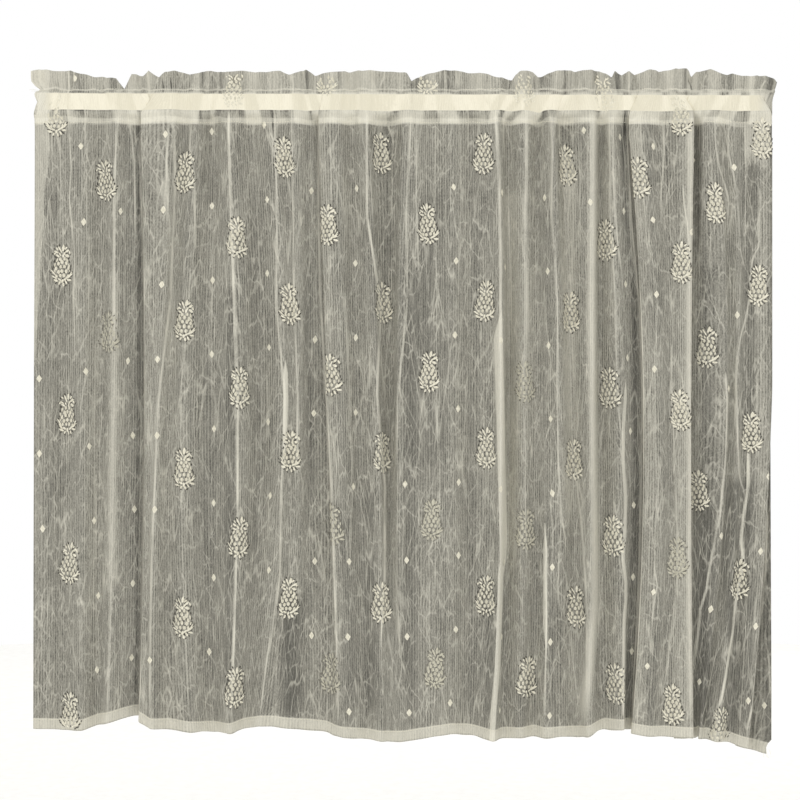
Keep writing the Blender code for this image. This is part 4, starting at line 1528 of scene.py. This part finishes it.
@dataclass
class LacePanel:
    """The lace itself: frill, rod pocket, hanging folds and turned-up hem."""

    cloth: HungLace
    creases: Creases
    net: KnittedNet
    columns: int = 600
    drop_rows: int = 96
    drop_from: float = 0.014
    hidden_share: float = 0.14
    most_layers: float = 3.2
    bin_width: float = 1.5
    frill_ruffle: float = 1.1
    pocket_ruffle: float = 0.5
    edge_wave: float = 0.5
    # Layers of the frill and of the pocket, and how far gathers change them
    frill_layers: float = 1.68
    frill_gather: float = 0.58
    pocket_layers: float = 1.75
    pocket_patch: float = 2.5
    pocket_gather: float = 0.5
    # Layers that the label, the two side edges and the seam's lumps add
    label_layers: float = 1.5
    left_edge_layers: float = 0.9
    left_edge_width: float = 2.2
    right_edge_layers: float = -0.45
    seam_lumps: float = 1.3
    lump_level: float = -20.6
    lump_reach: float = 3.4
    even_layers: float = -0.05
    least_layers: float = 0.3
    label_left: float = 815.0
    label_right: float = 842.0
    label_top: float = -29.0
    label_bottom: float = -67.0
    rod_left: float = 14.0
    rod_right: float = 838.0
    stitch_wave: float = 0.9
    seam_wave: float = 1.2
    # Lengths over which each random change runs
    edge_lengths: tuple[float, float] = (9.0, 14.0)
    gather_length: float = 9.0
    lean_length: float = 90.0
    patch_length: float = 15.0
    lump_length: float = 8.0
    ruffle_length: float = 8.0
    puff_length: float = 5.0
    stitch_length: float = 9.0
    seam_length: float = 21.0
    # Heights between which relief and ruffles come in at the frill, and puffs
    # come in and go at the pocket's lower and upper stitching
    frill_relief: tuple[float, float] = (16.0, 26.0)
    puffs_low: tuple[float, float] = (-21.0, -13.0)
    puffs_high: tuple[float, float] = (11.0, 14.0)
    # Height over the hem's edge at which the rows of the drop end
    drop_end: float = 16.0
    slope_top: float = 2.6
    slope_low: float = 1.1
    corner_sag: float = 3.0
    seed: int = 11

    def rows(self) -> list[Row]:
        """List the rows from the turning behind the rod to the inside of the hem.

        Returns:
            The rows, in the order in which the lace runs.
        """
        level = RowKind.LEVEL
        back = (-26.0, -22.5, -19.0, -15.5, -12.0, -7.0, -2.0, 3.0, 8.0, 11.0, 12.9, 14.8)
        front = (14.8, 12.9, 11.0, 9.0, 6.0, 2.5, -1.0, -4.5, -8.0, -10.5, -12.5, -14.5)
        seam = (-16.5, -18.5, -20.5, -22.5, -24.5, -26.5, -29.0)
        frill = (0.2, 0.42, 0.64, 0.84, 0.96)
        rows = [Row(level, value, -1.0) for value in back]
        rows += [Row(RowKind.FRILL, value, -1.0) for value in frill]
        rows += [Row(RowKind.FRILL, 0.99, -0.6), Row(RowKind.FRILL, 1.0, 0.0)]
        rows += [Row(RowKind.FRILL, 0.99, 0.6)]
        rows += [Row(RowKind.FRILL, value, 1.0) for value in reversed(frill)]
        rows += [Row(level, value, 1.0) for value in front + seam]
        last = 1.0 - self.drop_end / (self.cloth.pocket_seam - self.cloth.hem_bottom)
        for step in range(self.drop_rows):
            share = mix(self.drop_from, last, step / (self.drop_rows - 1))
            rows.append(Row(RowKind.DROP, share, 1.0))
        for value, behind in ((13.2, 0.25), (12.4, 0.0), (8.0, 0.0), (4.0, 0.0), (1.2, 0.0),
                              (0.0, 0.6), (1.2, 1.2), (4.0, 1.25), (8.0, 1.25), (12.4, 1.1)):
            rows.append(Row(RowKind.HEM, value, 1.0, behind))
        return rows

    def heights(self, rows: list[Row], position: Array) -> Array:
        """Height of every point.

        Args:
            rows: the rows of the lace.
            position: place of each column.

        Returns:
            An array with a row for each column.
        """
        stitch = self.cloth.heading_stitch
        upper, lower = self.edge_lengths
        rng = np.random.default_rng(self.seed)
        flat = self.cloth.flat_distance(position)
        top = self.cloth.heading_top(position) + self.edge_wave * smooth_random(rng, upper, flat)
        bottom = self.cloth.hem_height(position) + self.edge_wave * smooth_random(rng, lower, flat)
        columns = []
        for row in rows:
            if row.kind is RowKind.LEVEL:
                columns.append(np.full(len(position), row.value))
            elif row.kind is RowKind.FRILL:
                columns.append(mix(stitch, top, row.value))
            elif row.kind is RowKind.DROP:
                columns.append(self.cloth.drop_height(position, np.full(len(position), row.value)))
            else:
                columns.append(bottom + row.value)
        return np.stack(columns, axis=1)

    def density(self, height: float, x: Array) -> Array:
        """Layers of net seen through at places of one height.

        Args:
            height: height above the rod.
            x: places asked for.

        Returns:
            Layers there, more where the cloth turns away or laps.
        """
        dense = self.cloth.dense
        line_x, line_out = self.cloth.curve(dense, np.full(len(dense), height))
        steps = np.hypot(np.diff(line_x), np.diff(line_out))
        middle = (line_x[:-1] + line_x[1:]) / 2.0
        edges = np.arange(-12.0, self.cloth.hung_width + 14.0, self.bin_width)
        total, _ = np.histogram(middle, edges, weights=steps)
        total = np.convolve(total / self.bin_width, (0.25, 0.5, 0.25), mode="same")
        found = np.interp(x, (edges[:-1] + edges[1:]) / 2.0, total)
        return np.clip(1.0 + self.hidden_share * (found - 1.0), 0.7, self.most_layers)

    def layers(self, x: Array, height: Array, flat: Array) -> Array:
        """Layers at every point, before the sharp creases, with painted light and painted shade from the
        soft places.

        Args:
            x: distances from the left edge, one row for each column.
            height: heights in the same layout.
            flat: distance along the flat cloth, one for each column.

        Returns:
            Layers in the same layout.
        """
        found = np.empty_like(x)
        for row in range(x.shape[1]):
            found[:, row] = self.density(float(height[:, row].mean()), x[:, row])
        rng = np.random.default_rng(self.seed + 1)
        gather = smooth_random(rng, self.gather_length, flat)[:, None]
        lean = 0.5 * smooth_random(rng, self.lean_length, flat)[:, None]
        slant = np.maximum(0.0, flat[:, None] + 60.0 + lean * np.clip(height, -40.0, 40.0))
        patch = smooth_random(rng, self.patch_length, slant.ravel()).reshape(x.shape)
        patch = ease(-0.25, 0.25, patch)
        double = self.frill_layers + self.frill_gather * gather
        pocket = self.pocket_layers + self.pocket_patch * patch + self.pocket_gather * gather
        in_pocket = ease(12.0, 9.0, height) * ease(-28.0, -26.0, height)
        above = ease(-25.5, -24.0, height)
        found = mix(found, mix(double, pocket, in_pocket) * found, above)
        # Broad creases add or take layers, and the soft places add painted light and painted shade
        found += self.creases.broad_layers_and_painted_shading(x.ravel(), height.ravel()).reshape(x.shape)
        label = ease(self.label_left - 1.0, self.label_left + 1.0, x)
        label *= 1.0 - ease(self.label_right - 1.0, self.label_right + 1.0, x)
        label *= ease(self.label_bottom - 2.0, self.label_bottom + 2.0, height)
        label *= 1.0 - ease(self.label_top - 1.0, self.label_top + 3.0, height)
        lumps = ease(0.1, 1.0, smooth_random(rng, self.lump_length, flat))[:, None]
        near_seam = np.exp(-(((height - self.lump_level) / self.lump_reach) ** 2))
        left_edge = np.exp(-((flat / self.left_edge_width) ** 2))[:, None]
        right_edge = ease(self.cloth.hung_width - 9.0, self.cloth.hung_width - 2.0, x)
        found += self.seam_lumps * lumps * near_seam
        found += self.label_layers * label + self.even_layers + self.left_edge_layers * left_edge
        found += self.right_edge_layers * right_edge
        return np.maximum(found, self.least_layers)

    def build(self) -> Piece:
        """Lay the grid, give it its folds and creases, and dress it.

        Returns:
            The lace.
        """
        position = self.cloth.positions(self.columns)
        flat = self.cloth.flat_distance(position)
        rows = self.rows()
        height = self.heights(rows, position)
        side = np.array([row.side for row in rows])
        behind = np.array([row.behind for row in rows])
        shape = height.shape
        everywhere = np.repeat(position, shape[1])
        x, out = self.cloth.surface(everywhere, height.ravel(), np.tile(side, shape[0]))
        x = x.reshape(shape)
        out = out.reshape(shape)
        above_hem = height - self.cloth.hem_height(position)[:, None]
        last = ease(self.cloth.flat_width - 12.0, self.cloth.flat_width, flat)[:, None]
        x -= last * mix(self.cloth.hem_inset, 0.0, ease(10.0, self.drop_end, above_hem))
        relief = self.creases.relief(x.ravel(), height.ravel()).reshape(shape)
        frill = ease(*self.frill_relief, height)
        rng = np.random.default_rng(self.seed + 2)
        ruffle = smooth_random(rng, self.ruffle_length, flat)[:, None]
        puff = np.abs(smooth_random(rng, self.puff_length, flat))[:, None] * side
        around = ease(*self.puffs_low, height) * (1.0 - ease(*self.puffs_high, height))
        out = out + relief * np.maximum(self.cloth.hanging(height), frill)
        out = out + self.frill_ruffle * ruffle * frill
        out = out + self.pocket_ruffle * puff * around - behind
        points = world(x.ravel(), out.ravel(), height.ravel())
        faces = grid_faces(shape[0], shape[1])
        net = self.net.material(self.creases.families, self.creases.pleat_families)
        piece = mesh_piece("lace_net", points, faces, net)
        self.write_fields(piece, x, height, flat, rows)
        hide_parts("lace_panel")
        return piece

    def write_fields(
        self, piece: Piece, x: Array, height: Array, flat: Array, rows: list[Row]
    ) -> None:
        """Store what the net's material reads at each point.

        Args:
            piece: the lace.
            x: distances from the left edge, one row for each column.
            height: heights in the same layout.
            flat: distance along the flat cloth, one for each column.
            rows: the rows of the lace.
        """
        steps = np.abs(np.diff(height.mean(axis=0), prepend=height[0, 0]))
        down = np.cumsum(steps)
        place = np.zeros((*x.shape, 3))
        place[:, :, 0] = flat[:, None] * MM
        place[:, :, 1] = down[None, :] * MM
        rng = np.random.default_rng(self.seed + 3)
        upper = self.stitch_wave * smooth_random(rng, self.stitch_length, flat)[:, None]
        lower = self.seam_wave * smooth_random(rng, self.seam_length, flat)[:, None]
        wave = mix(lower, upper, ease(-9.0, 9.0, height)) * ease(8.5, 14.0, np.abs(height))
        slope = mix(self.slope_low, self.slope_top, ease(-12.0, 9.0, height))
        slope *= 1.0 - ease(10.0, 14.0, height)
        slope = slope * x / self.cloth.hung_width
        slope += self.corner_sag * ease(780.0, 812.0, x) * ease(-14.0, -22.0, height)
        levels = np.zeros((*x.shape, 3))
        levels[:, :, 0] = height + wave + slope
        position = self.cloth.positions(self.columns)
        levels[:, :, 1] = height - self.cloth.hem_height(position)[:, None]
        levels[:, :, 2] = ease(self.rod_left - 6.0, self.rod_left + 8.0, x) * (
            1.0 - ease(self.rod_right - 12.0, self.rod_right + 3.0, x)
        )
        fields = {"flat_place": place.reshape(-1, 3), "heights": levels.reshape(-1, 3)}
        for family in range(self.creases.families + self.creases.pleat_families):
            nearest = self.creases.family_fields(family, x.ravel(), height.ravel())
            fields[f"creases_{family}"] = nearest
        for name, values in fields.items():
            stored = piece.data.attributes.new(name, "FLOAT_VECTOR", "POINT")
            stored.data.foreach_set("vector", values.astype(np.float32).ravel())
        stored = piece.data.attributes.new("layers", "FLOAT", "POINT")
        values = self.layers(x, height, flat).astype(np.float32)
        stored.data.foreach_set("value", values.ravel())


@dataclass
class PadLayer:
    """Lens-shaped pads of clothwork that lie on the two faces of the lace."""

    cloth: HungLace
    creases: Creases
    corners: int = 8
    points: list[Array] = field(default_factory=list)
    faces: list[tuple[int, ...]] = field(default_factory=list)

    def add(
        self,
        pads: list[Pad],
        position: float,
        height: float,
        lift: tuple[float, float],
        side: Side = Side.ROOM,
        point: float = 1.0,
    ) -> None:
        """Lay pads round a place on the lace.

        Args:
            pads: the pads, measured from that place.
            position: its place along the fold table.
            height: its height above the rod.
            lift: how far rim and middle stand off the net.
            side: layer of the heading and pocket that takes them.
            point: 1 for round ends, more for a pointed lozenge.
        """
        table = np.array(pads)
        angle = np.linspace(0.0, 2.0 * math.pi, self.corners, endpoint=False)
        across_share = np.sign(np.sin(angle)) * np.abs(np.sin(angle)) ** point
        up_share = np.sign(np.cos(angle)) * np.abs(np.cos(angle)) ** (point + 0.2)
        wide = table[:, 3, None] / 2.0 * across_share
        tall = table[:, 2, None] / 2.0 * up_share
        wide = np.concatenate((wide, np.zeros((len(pads), 1))), axis=1)
        tall = np.concatenate((tall, np.zeros((len(pads), 1))), axis=1)
        turn = np.radians(table[:, 4, None])
        across = table[:, 0, None] + wide * np.cos(turn) + tall * np.sin(turn)
        up = table[:, 1, None] - wide * np.sin(turn) + tall * np.cos(turn)
        level = self.cloth.clear_level(height)
        along = self.cloth.unrolled(level)
        start = float(np.interp(position, self.cloth.dense, along))
        places = np.interp(start + across.ravel(), along, self.cloth.dense)
        heights = height + up.ravel()
        layer = np.full(len(heights), float(side.value))
        x, out = self.cloth.surface(places, heights, layer)
        x_next, out_next = self.cloth.surface(places + 0.02, heights, layer)
        run = np.maximum(np.hypot(x_next - x, out_next - out), 1e-6)
        normal_x = -(out_next - out) / run
        normal_out = (x_next - x) / run
        out = out + self.creases.relief(x, heights) * self.cloth.hanging(heights)
        raised = np.full(across.shape, lift[0])
        raised[:, -1] = lift[1]
        for face in (1.0, -1.0):
            away = raised.ravel() * face
            offset = sum(len(block) for block in self.points)
            self.points.append(world(x + normal_x * away, out + normal_out * away, heights))
            for pad in range(len(pads)):
                base = offset + pad * (self.corners + 1)
                for corner in range(self.corners):
                    near = base + corner
                    far = base + (corner + 1) % self.corners
                    middle = base + self.corners
                    self.faces.append((near, middle, far) if face > 0 else (far, middle, near))

    def build(self, name: str, material: bpy.types.Material) -> Piece:
        """Make the pads one piece.

        Args:
            name: name of the piece.
            material: its finish.

        Returns:
            The piece.
        """
        piece = mesh_piece(name, np.concatenate(self.points), self.faces, material)
        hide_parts("lace_panel")
        return piece


@dataclass
class LacePattern:
    """Half-drop repeat of pineapples with dots between them."""

    cloth: HungLace
    creases: Creases
    frill_room: float = 1.5
    rim_lift: float = 0.42
    middle_lift: float = 0.8
    open_and_shadow_lift: float = 0.46
    dot: Pad = Pad(0.0, 0.0, 9.0, 6.2, 0.0)
    dot_point: float = 1.7
    openings_and_shadows_below: float = -24.0
    top_row_drop: float = 10.5
    jitter: float = 0.3
    sway: float = 2.4
    half_span: float = 8.0
    full_view: float = 0.96
    most_widening: float = 1.3
    seed: int = 5

    def column_x(self, column: MotifColumn, height: float) -> float:
        """Follow a column of pineapples down the lace.

        Args:
            column: the column.
            height: height above the rod.

        Returns:
            Its x there.
        """
        top = self.cloth.top_level - self.top_row_drop
        middle = (top - self.cloth.mid_level) / (top - self.cloth.low_level)
        share = max(0.0, (top - height) / (top - self.cloth.low_level))
        return through_levels(share, middle, column.x_top, column.x_mid, column.x_low)

    def mirrored(self, half: tuple[Pad, ...]) -> list[Pad]:
        """Add the left half of a motif to its right half.

        Args:
            half: pads of the right half and of the middle line.

        Returns:
            The pads of both.
        """
        pads = []
        for pad in half:
            pads.append(pad)
            if pad.across > 0.0:
                pads.append(pad._replace(across=-pad.across, tilt=-pad.tilt))
        return pads

    def varied(self, pads: list[Pad], lean: float, rng: np.random.Generator) -> list[Pad]:
        """Lean the pads as one, each as uneven as knitting leaves it.

        Args:
            pads: the motif.
            lean: degrees that the whole leans to the right.
            rng: source of the draws.

        Returns:
            The pads, moved and turned.
        """
        cosine = math.cos(math.radians(lean))
        sine = math.sin(math.radians(lean))
        result = []
        for pad in pads:
            shift = rng.normal(0.0, self.jitter, 4)
            result.append(Pad(
                pad.across * cosine + pad.up * sine + shift[0],
                pad.up * cosine - pad.across * sine + shift[1],
                pad.length + shift[2],
                pad.width + shift[3] * 0.7,
                pad.tilt + lean + shift[0] * 18.0,
            ))
        return result

    def fits(self, position: float, height: float, pad: Pad) -> bool:
        """Whether a pad lies between the frill's edge and the hem.

        Args:
            position: place of its motif along the fold table.
            height: height of its motif above the rod.
            pad: the pad.

        Returns:
            True where it has room.
        """
        place = np.array([position])
        top = float(self.cloth.heading_top(place)[0]) - self.frill_room
        bottom = float(self.cloth.hem_height(place)[0])
        upper = height + pad.up + pad.length / 2.0
        lower = height + pad.up - pad.length / 2.0
        return upper < top and lower > bottom + 1.0

    def widening(self, position: float, height: float) -> float:
        """How much wider a motif is drawn where the cloth turns away.

        Args:
            position: its place along the fold table.
            height: its height above the rod.

        Returns:
            A factor of 1 or more.
        """
        line = self.cloth.unrolled(self.cloth.clear_level(height))
        middle = float(np.interp(position, self.cloth.dense, line))
        ends = np.array((middle - self.half_span, middle + self.half_span))
        places = np.interp(ends, line, self.cloth.dense)
        x, _ = self.cloth.curve(places, np.full(2, self.cloth.clear_level(height)))
        shown = abs(float(x[1] - x[0])) / (2.0 * self.half_span)
        return float(np.clip(self.full_view / max(shown, 0.1), 1.0, self.most_widening))

    def motif_places(self) -> list[tuple[float, float, bool]]:
        """Find where the pineapples that show lie on the lace.

        Returns:
            Position and height of each, and whether it is faint.
        """
        places = []
        for column in MOTIF_COLUMNS:
            for number, letter in enumerate(column.shown):
                height = column.first - column.pitch * number
                level = self.cloth.clear_level(height)
                position = self.cloth.front_most(self.column_x(column, height), level)
                if letter != "x":
                    places.append((position, height, letter == "f"))
        return places

    def dot_places(self) -> list[tuple[float, float]]:
        """Find where the dots that show lie on the lace.

        Returns:
            Position and height of each.
        """
        places = []
        for column in DOT_COLUMNS:
            for number, x in enumerate(column.places):
                height = -column.drop - column.pitch * number
                if x > 0.0:
                    level = self.cloth.clear_level(height)
                    places.append((self.cloth.front_most(x, level), height))
        return places

    def build(self) -> list[Piece]:
        """Lay every pineapple and dot, and the openings between the leaves, which also paint the shadows
        round them.

        Returns:
            One piece for each finish.
        """
        rng = np.random.default_rng(self.seed)
        leaves = PadLayer(self.cloth, self.creases)
        fruit = PadLayer(self.cloth, self.creases)
        faint = PadLayer(self.cloth, self.creases)
        openings_and_shadows = PadLayer(self.cloth, self.creases, corners=6)
        faint_openings_and_shadows = PadLayer(self.cloth, self.creases, corners=6)
        lift = (self.rim_lift, self.middle_lift)
        low = (self.open_and_shadow_lift, self.open_and_shadow_lift)
        groups = (
            (leaves, list(MOTIF_LEAVES), lift),
            (fruit, self.mirrored(MOTIF_FRUIT), lift),
            (openings_and_shadows, self.mirrored(MOTIF_OPENINGS_AND_SHADOWS), low),
        )
        for position, height, dim in self.motif_places():
            lean = float(rng.normal(0.0, self.sway))
            wider = self.widening(position, height)
            for layer, motif, lifted in groups:
                pads = self.varied(motif, lean, rng)
                pads = [pad._replace(across=pad.across * wider) for pad in pads]
                pads = [pad for pad in pads if self.fits(position, height, pad)]
                if layer is openings_and_shadows:
                    pads = [pad for pad in pads if height + pad.up < self.openings_and_shadows_below]
                if dim:
                    layer = faint_openings_and_shadows if layer is openings_and_shadows else faint
                if pads:
                    layer.add(pads, position, height, lifted)
        for position, height in self.dot_places():
            if self.fits(position, height, self.dot):
                dot = self.varied([self.dot], 0.0, rng)
                leaves.add(dot, position, height, lift, point=self.dot_point)
        return [
            leaves.build("lace_pattern_leaves", CLOTHWORK.material()),
            fruit.build("lace_pattern_fruit", FRUITWORK.material()),
            faint.build("lace_pattern_faint", COVERED_WORK.material()),
            # Dark pads: open net and painted shadow round the leaves, plain and under another layer
            openings_and_shadows.build("lace_pattern_open_net", OPEN_NET_AND_SHADOW.material()),
            faint_openings_and_shadows.build("lace_pattern_faint_open", COVERED_NET_AND_SHADOW.material()),
        ]


@dataclass
class StitchRows:
    """Straight machine stitching at the frill, the pocket and the hem."""

    cloth: HungLace
    creases: Creases
    pitch: float = 3.4
    stitch: Pad = Pad(0.0, 0.0, 2.5, 0.8, 90.0)
    heading_level: float = 13.9
    seam_level: float = -23.2
    hem_level: float = 11.8
    lift: tuple[float, float] = (0.4, 0.6)
    wave: float = 0.5
    wave_length: float = 12.0
    seed: int = 8

    def build(self) -> Piece:
        """Set a stitch at every step along each row.

        Returns:
            All stitches as one piece.
        """
        rng = np.random.default_rng(self.seed)
        rows = PadLayer(self.cloth, self.creases, corners=6)
        flats = np.arange(self.pitch, self.cloth.flat_width - self.pitch, self.pitch)
        positions = np.interp(flats, self.cloth.flat, self.cloth.dense)
        hem = self.cloth.hem_height(positions) + self.hem_level
        wave = self.wave * smooth_random(rng, self.wave_length, flats)
        for number, position in enumerate(positions):
            for level, side in (
                (self.heading_level + wave[number], Side.ROOM),
                (self.heading_level + wave[number], Side.WALL),
                (self.seam_level + wave[number], Side.ROOM),
                (self.seam_level + wave[number], Side.WALL),
                (hem[number], Side.ROOM),
            ):
                rows.add([self.stitch], float(position), float(level), self.lift, side=side)
        return rows.build("lace_stitching", SEWING_THREAD.material())


@dataclass
class LooseThreads:
    """Wisps that stand off the left of the frill and the frayed hem corner."""

    radius: float = 0.16
    routes: tuple[tuple[tuple[float, float, float], ...], ...] = (
        ((3.5, 2.0, 13.0), (0.0, 2.6, 14.2), (-3.4, 2.9, 14.6), (-6.4, 2.0, 13.6)),
        ((2.0, 1.6, 12.2), (-1.6, 2.0, 13.0), (-3.6, 1.6, 12.4)),
        ((839.0, 6.4, -745.0), (840.0, 6.8, -748.0), (839.0, 7.2, -750.4), (841.4, 7.2, -751.6)),
        ((842.0, 6.4, -743.0), (844.0, 6.9, -745.4), (843.2, 7.0, -748.4)),
        ((836.0, 6.6, -746.0), (835.2, 7.2, -749.4), (836.8, 7.0, -751.2)),
    )

    def build(self) -> Piece:
        """Draw each thread as a thin round line.

        Returns:
            All threads as one piece.
        """
        curve = bpy.data.curves.new("lace_loose_threads", "CURVE")
        curve.dimensions = "3D"
        curve.bevel_depth = self.radius * MM
        curve.bevel_resolution = 1
        curve.resolution_u = 6
        for route in self.routes:
            spline = curve.splines.new("NURBS")
            spline.points.add(len(route) - 1)
            spline.order_u = 3
            spline.use_endpoint_u = True
            places = world(*(np.array(column) for column in zip(*route)))
            for point, place in zip(spline.points, places):
                point.co = (*place, 1.0)
        curve.materials.append(SEWING_THREAD.material())
        piece = bpy.data.objects.new("lace_loose_threads", curve)
        bpy.context.scene.collection.objects.link(piece)
        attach(piece, "root")
        return piece


@dataclass
class BlankLabel:
    """Bare tape that hangs behind the lace from the right of the pocket seam."""

    left: float = 814.0
    width: float = 29.0
    top: float = -29.0
    height: float = 39.0
    out_top: float = -13.4
    out_low: float = -15.0
    bow: float = 1.0
    columns: int = 18
    rows: int = 24
    curl: float = 0.5
    ripple: float = 0.12

    def build(self) -> Piece:
        """Lay the tape as one thin sheet, a little curled at its free end.

        Returns:
            The label.
        """
        across = np.repeat(np.linspace(0.0, 1.0, self.columns), self.rows)
        down = np.tile(np.linspace(0.0, 1.0, self.rows), self.columns)
        height = self.top - self.height * down
        out = mix(self.out_top, self.out_low, down)
        out = out + self.bow * 4.0 * across * (1.0 - across) * down
        out = out - self.curl * down ** 4 + self.ripple * np.sin(across * 9.0 + down * 4.0)
        points = world(self.left + self.width * across, out, height)
        faces = grid_faces(self.columns, self.rows)
        piece = mesh_piece("label_tape", points, faces, SATIN_TAPE.material())
        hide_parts("blank_label")
        return piece


@dataclass
class CurtainRod:
    """Flat bar that carries the lace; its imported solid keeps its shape."""

    node: str = "curtain_rod"

    def dress(self) -> Piece:
        """Give the rod its enamel.

        Returns:
            The rod.
        """
        rod = bpy.data.objects[self.node]
        rod.data.materials.clear()
        rod.data.materials.append(BAKED_ENAMEL.material())
        return rod


@dataclass
class Softbox:
    """Large soft light: where it stands, what it faces, its size and power."""

    name: str
    place: tuple[float, float, float]
    size: float
    power: float


@dataclass
class Studio:
    """Pale floor, soft lights and the camera at the photograph's angle."""

    floor_height: float = -1.0
    floor_rings: tuple[tuple[float, float], ...] = (
        (0.001, 0.0), (0.6, 0.0), (1.4, 0.0), (2.4, 0.0), (3.1, 0.0), (3.2, -0.02),
    )
    floor_sides: int = 96
    camera_distance: float = 2.17
    lens: float = 85.0
    middle_x: float = -3.6
    middle_height: float = -342.1
    world_strength: float = 1.0
    lights: tuple[Softbox, ...] = (
        Softbox("softbox_left", (-1.6, -2.3, 0.9), 1.6, 9.0),
        Softbox("softbox_right", (1.9, -2.2, 0.2), 1.8, 4.0),
        Softbox("softbox_behind", (0.6, 2.6, 0.8), 2.0, 9.0),
    )

    def build_floor(self) -> Piece:
        """Lay a round floor with a slightly turned-down rim.

        Returns:
            The floor.
        """
        count = self.floor_sides
        points = []
        for radius, lower in self.floor_rings:
            for step in range(count):
                angle = 2.0 * math.pi * step / count
                height = self.floor_height + lower
                points.append((radius * math.cos(angle), radius * math.sin(angle), height))
        faces = []
        for ring in range(len(self.floor_rings) - 1):
            for step in range(count):
                near = ring * count + step
                side = ring * count + (step + 1) % count
                faces.append((near, near + count, side + count, side))
        mesh = bpy.data.meshes.new("studio_floor")
        mesh.from_pydata(points, [], faces)
        mesh.materials.append(PAINTED_BOARD.material())
        floor = bpy.data.objects.new("studio_floor", mesh)
        bpy.context.scene.collection.objects.link(floor)
        return floor

    def build_lights(self) -> None:
        """Set a white sky and the soft lights."""
        scene = bpy.context.scene
        scene.world = bpy.data.worlds.new("white_studio")
        scene.world.use_nodes = True
        background = scene.world.node_tree.nodes["Background"]
        background.inputs["Color"].default_value = (1.0, 1.0, 1.0, 1.0)
        background.inputs["Strength"].default_value = self.world_strength
        aim = Vector((self.middle_x, 0.0, self.middle_height)) * MM
        for light in self.lights:
            lamp = bpy.data.lights.new(light.name, "AREA")
            lamp.shape = "DISK"
            lamp.size = light.size
            lamp.energy = light.power
            holder = bpy.data.objects.new(light.name, lamp)
            holder.location = light.place
            toward = aim - Vector(light.place)
            holder.rotation_euler = toward.to_track_quat("-Z", "Y").to_euler()
            scene.collection.objects.link(holder)

    def build_camera(self) -> None:
        """Look straight at the lace from the room."""
        scene = bpy.context.scene
        lens = bpy.data.cameras.new("photo_camera")
        lens.lens = self.lens
        lens.sensor_width = 36.0
        camera = bpy.data.objects.new("photo_camera", lens)
        camera.location = (self.middle_x * MM, -self.camera_distance, self.middle_height * MM)
        camera.rotation_euler = (math.radians(90.0), 0.0, 0.0)
        scene.collection.objects.link(camera)
        scene.camera = camera
        scene.view_settings.view_transform = "Standard"


def main() -> None:
    """Build each piece in order and report it."""
    logging.basicConfig(level=logging.INFO, format="%(message)s")
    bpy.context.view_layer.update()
    studio = Studio()
    studio.build_camera()
    studio.build_lights()
    studio.build_floor()
    log.info("studio ready")
    CurtainRod().dress()
    log.info("curtain rod dressed")
    cloth = HungLace()
    creases = Creases()
    panel = LacePanel(cloth, creases, KnittedNet()).build()
    log.info("lace net: %d points", len(panel.data.vertices))
    pattern = LacePattern(cloth, creases).build()
    for piece in pattern:
        log.info("%s: %d faces", piece.name, len(piece.data.polygons))
    stitching = StitchRows(cloth, creases).build()
    log.info("stitching: %d faces", len(stitching.data.polygons))
    threads = LooseThreads().build()
    log.info("loose threads drawn")
    sewn = [*pattern, stitching, threads]
    BlankLabel().build()
    log.info("label hung")


if __name__ == "__main__":
    main()
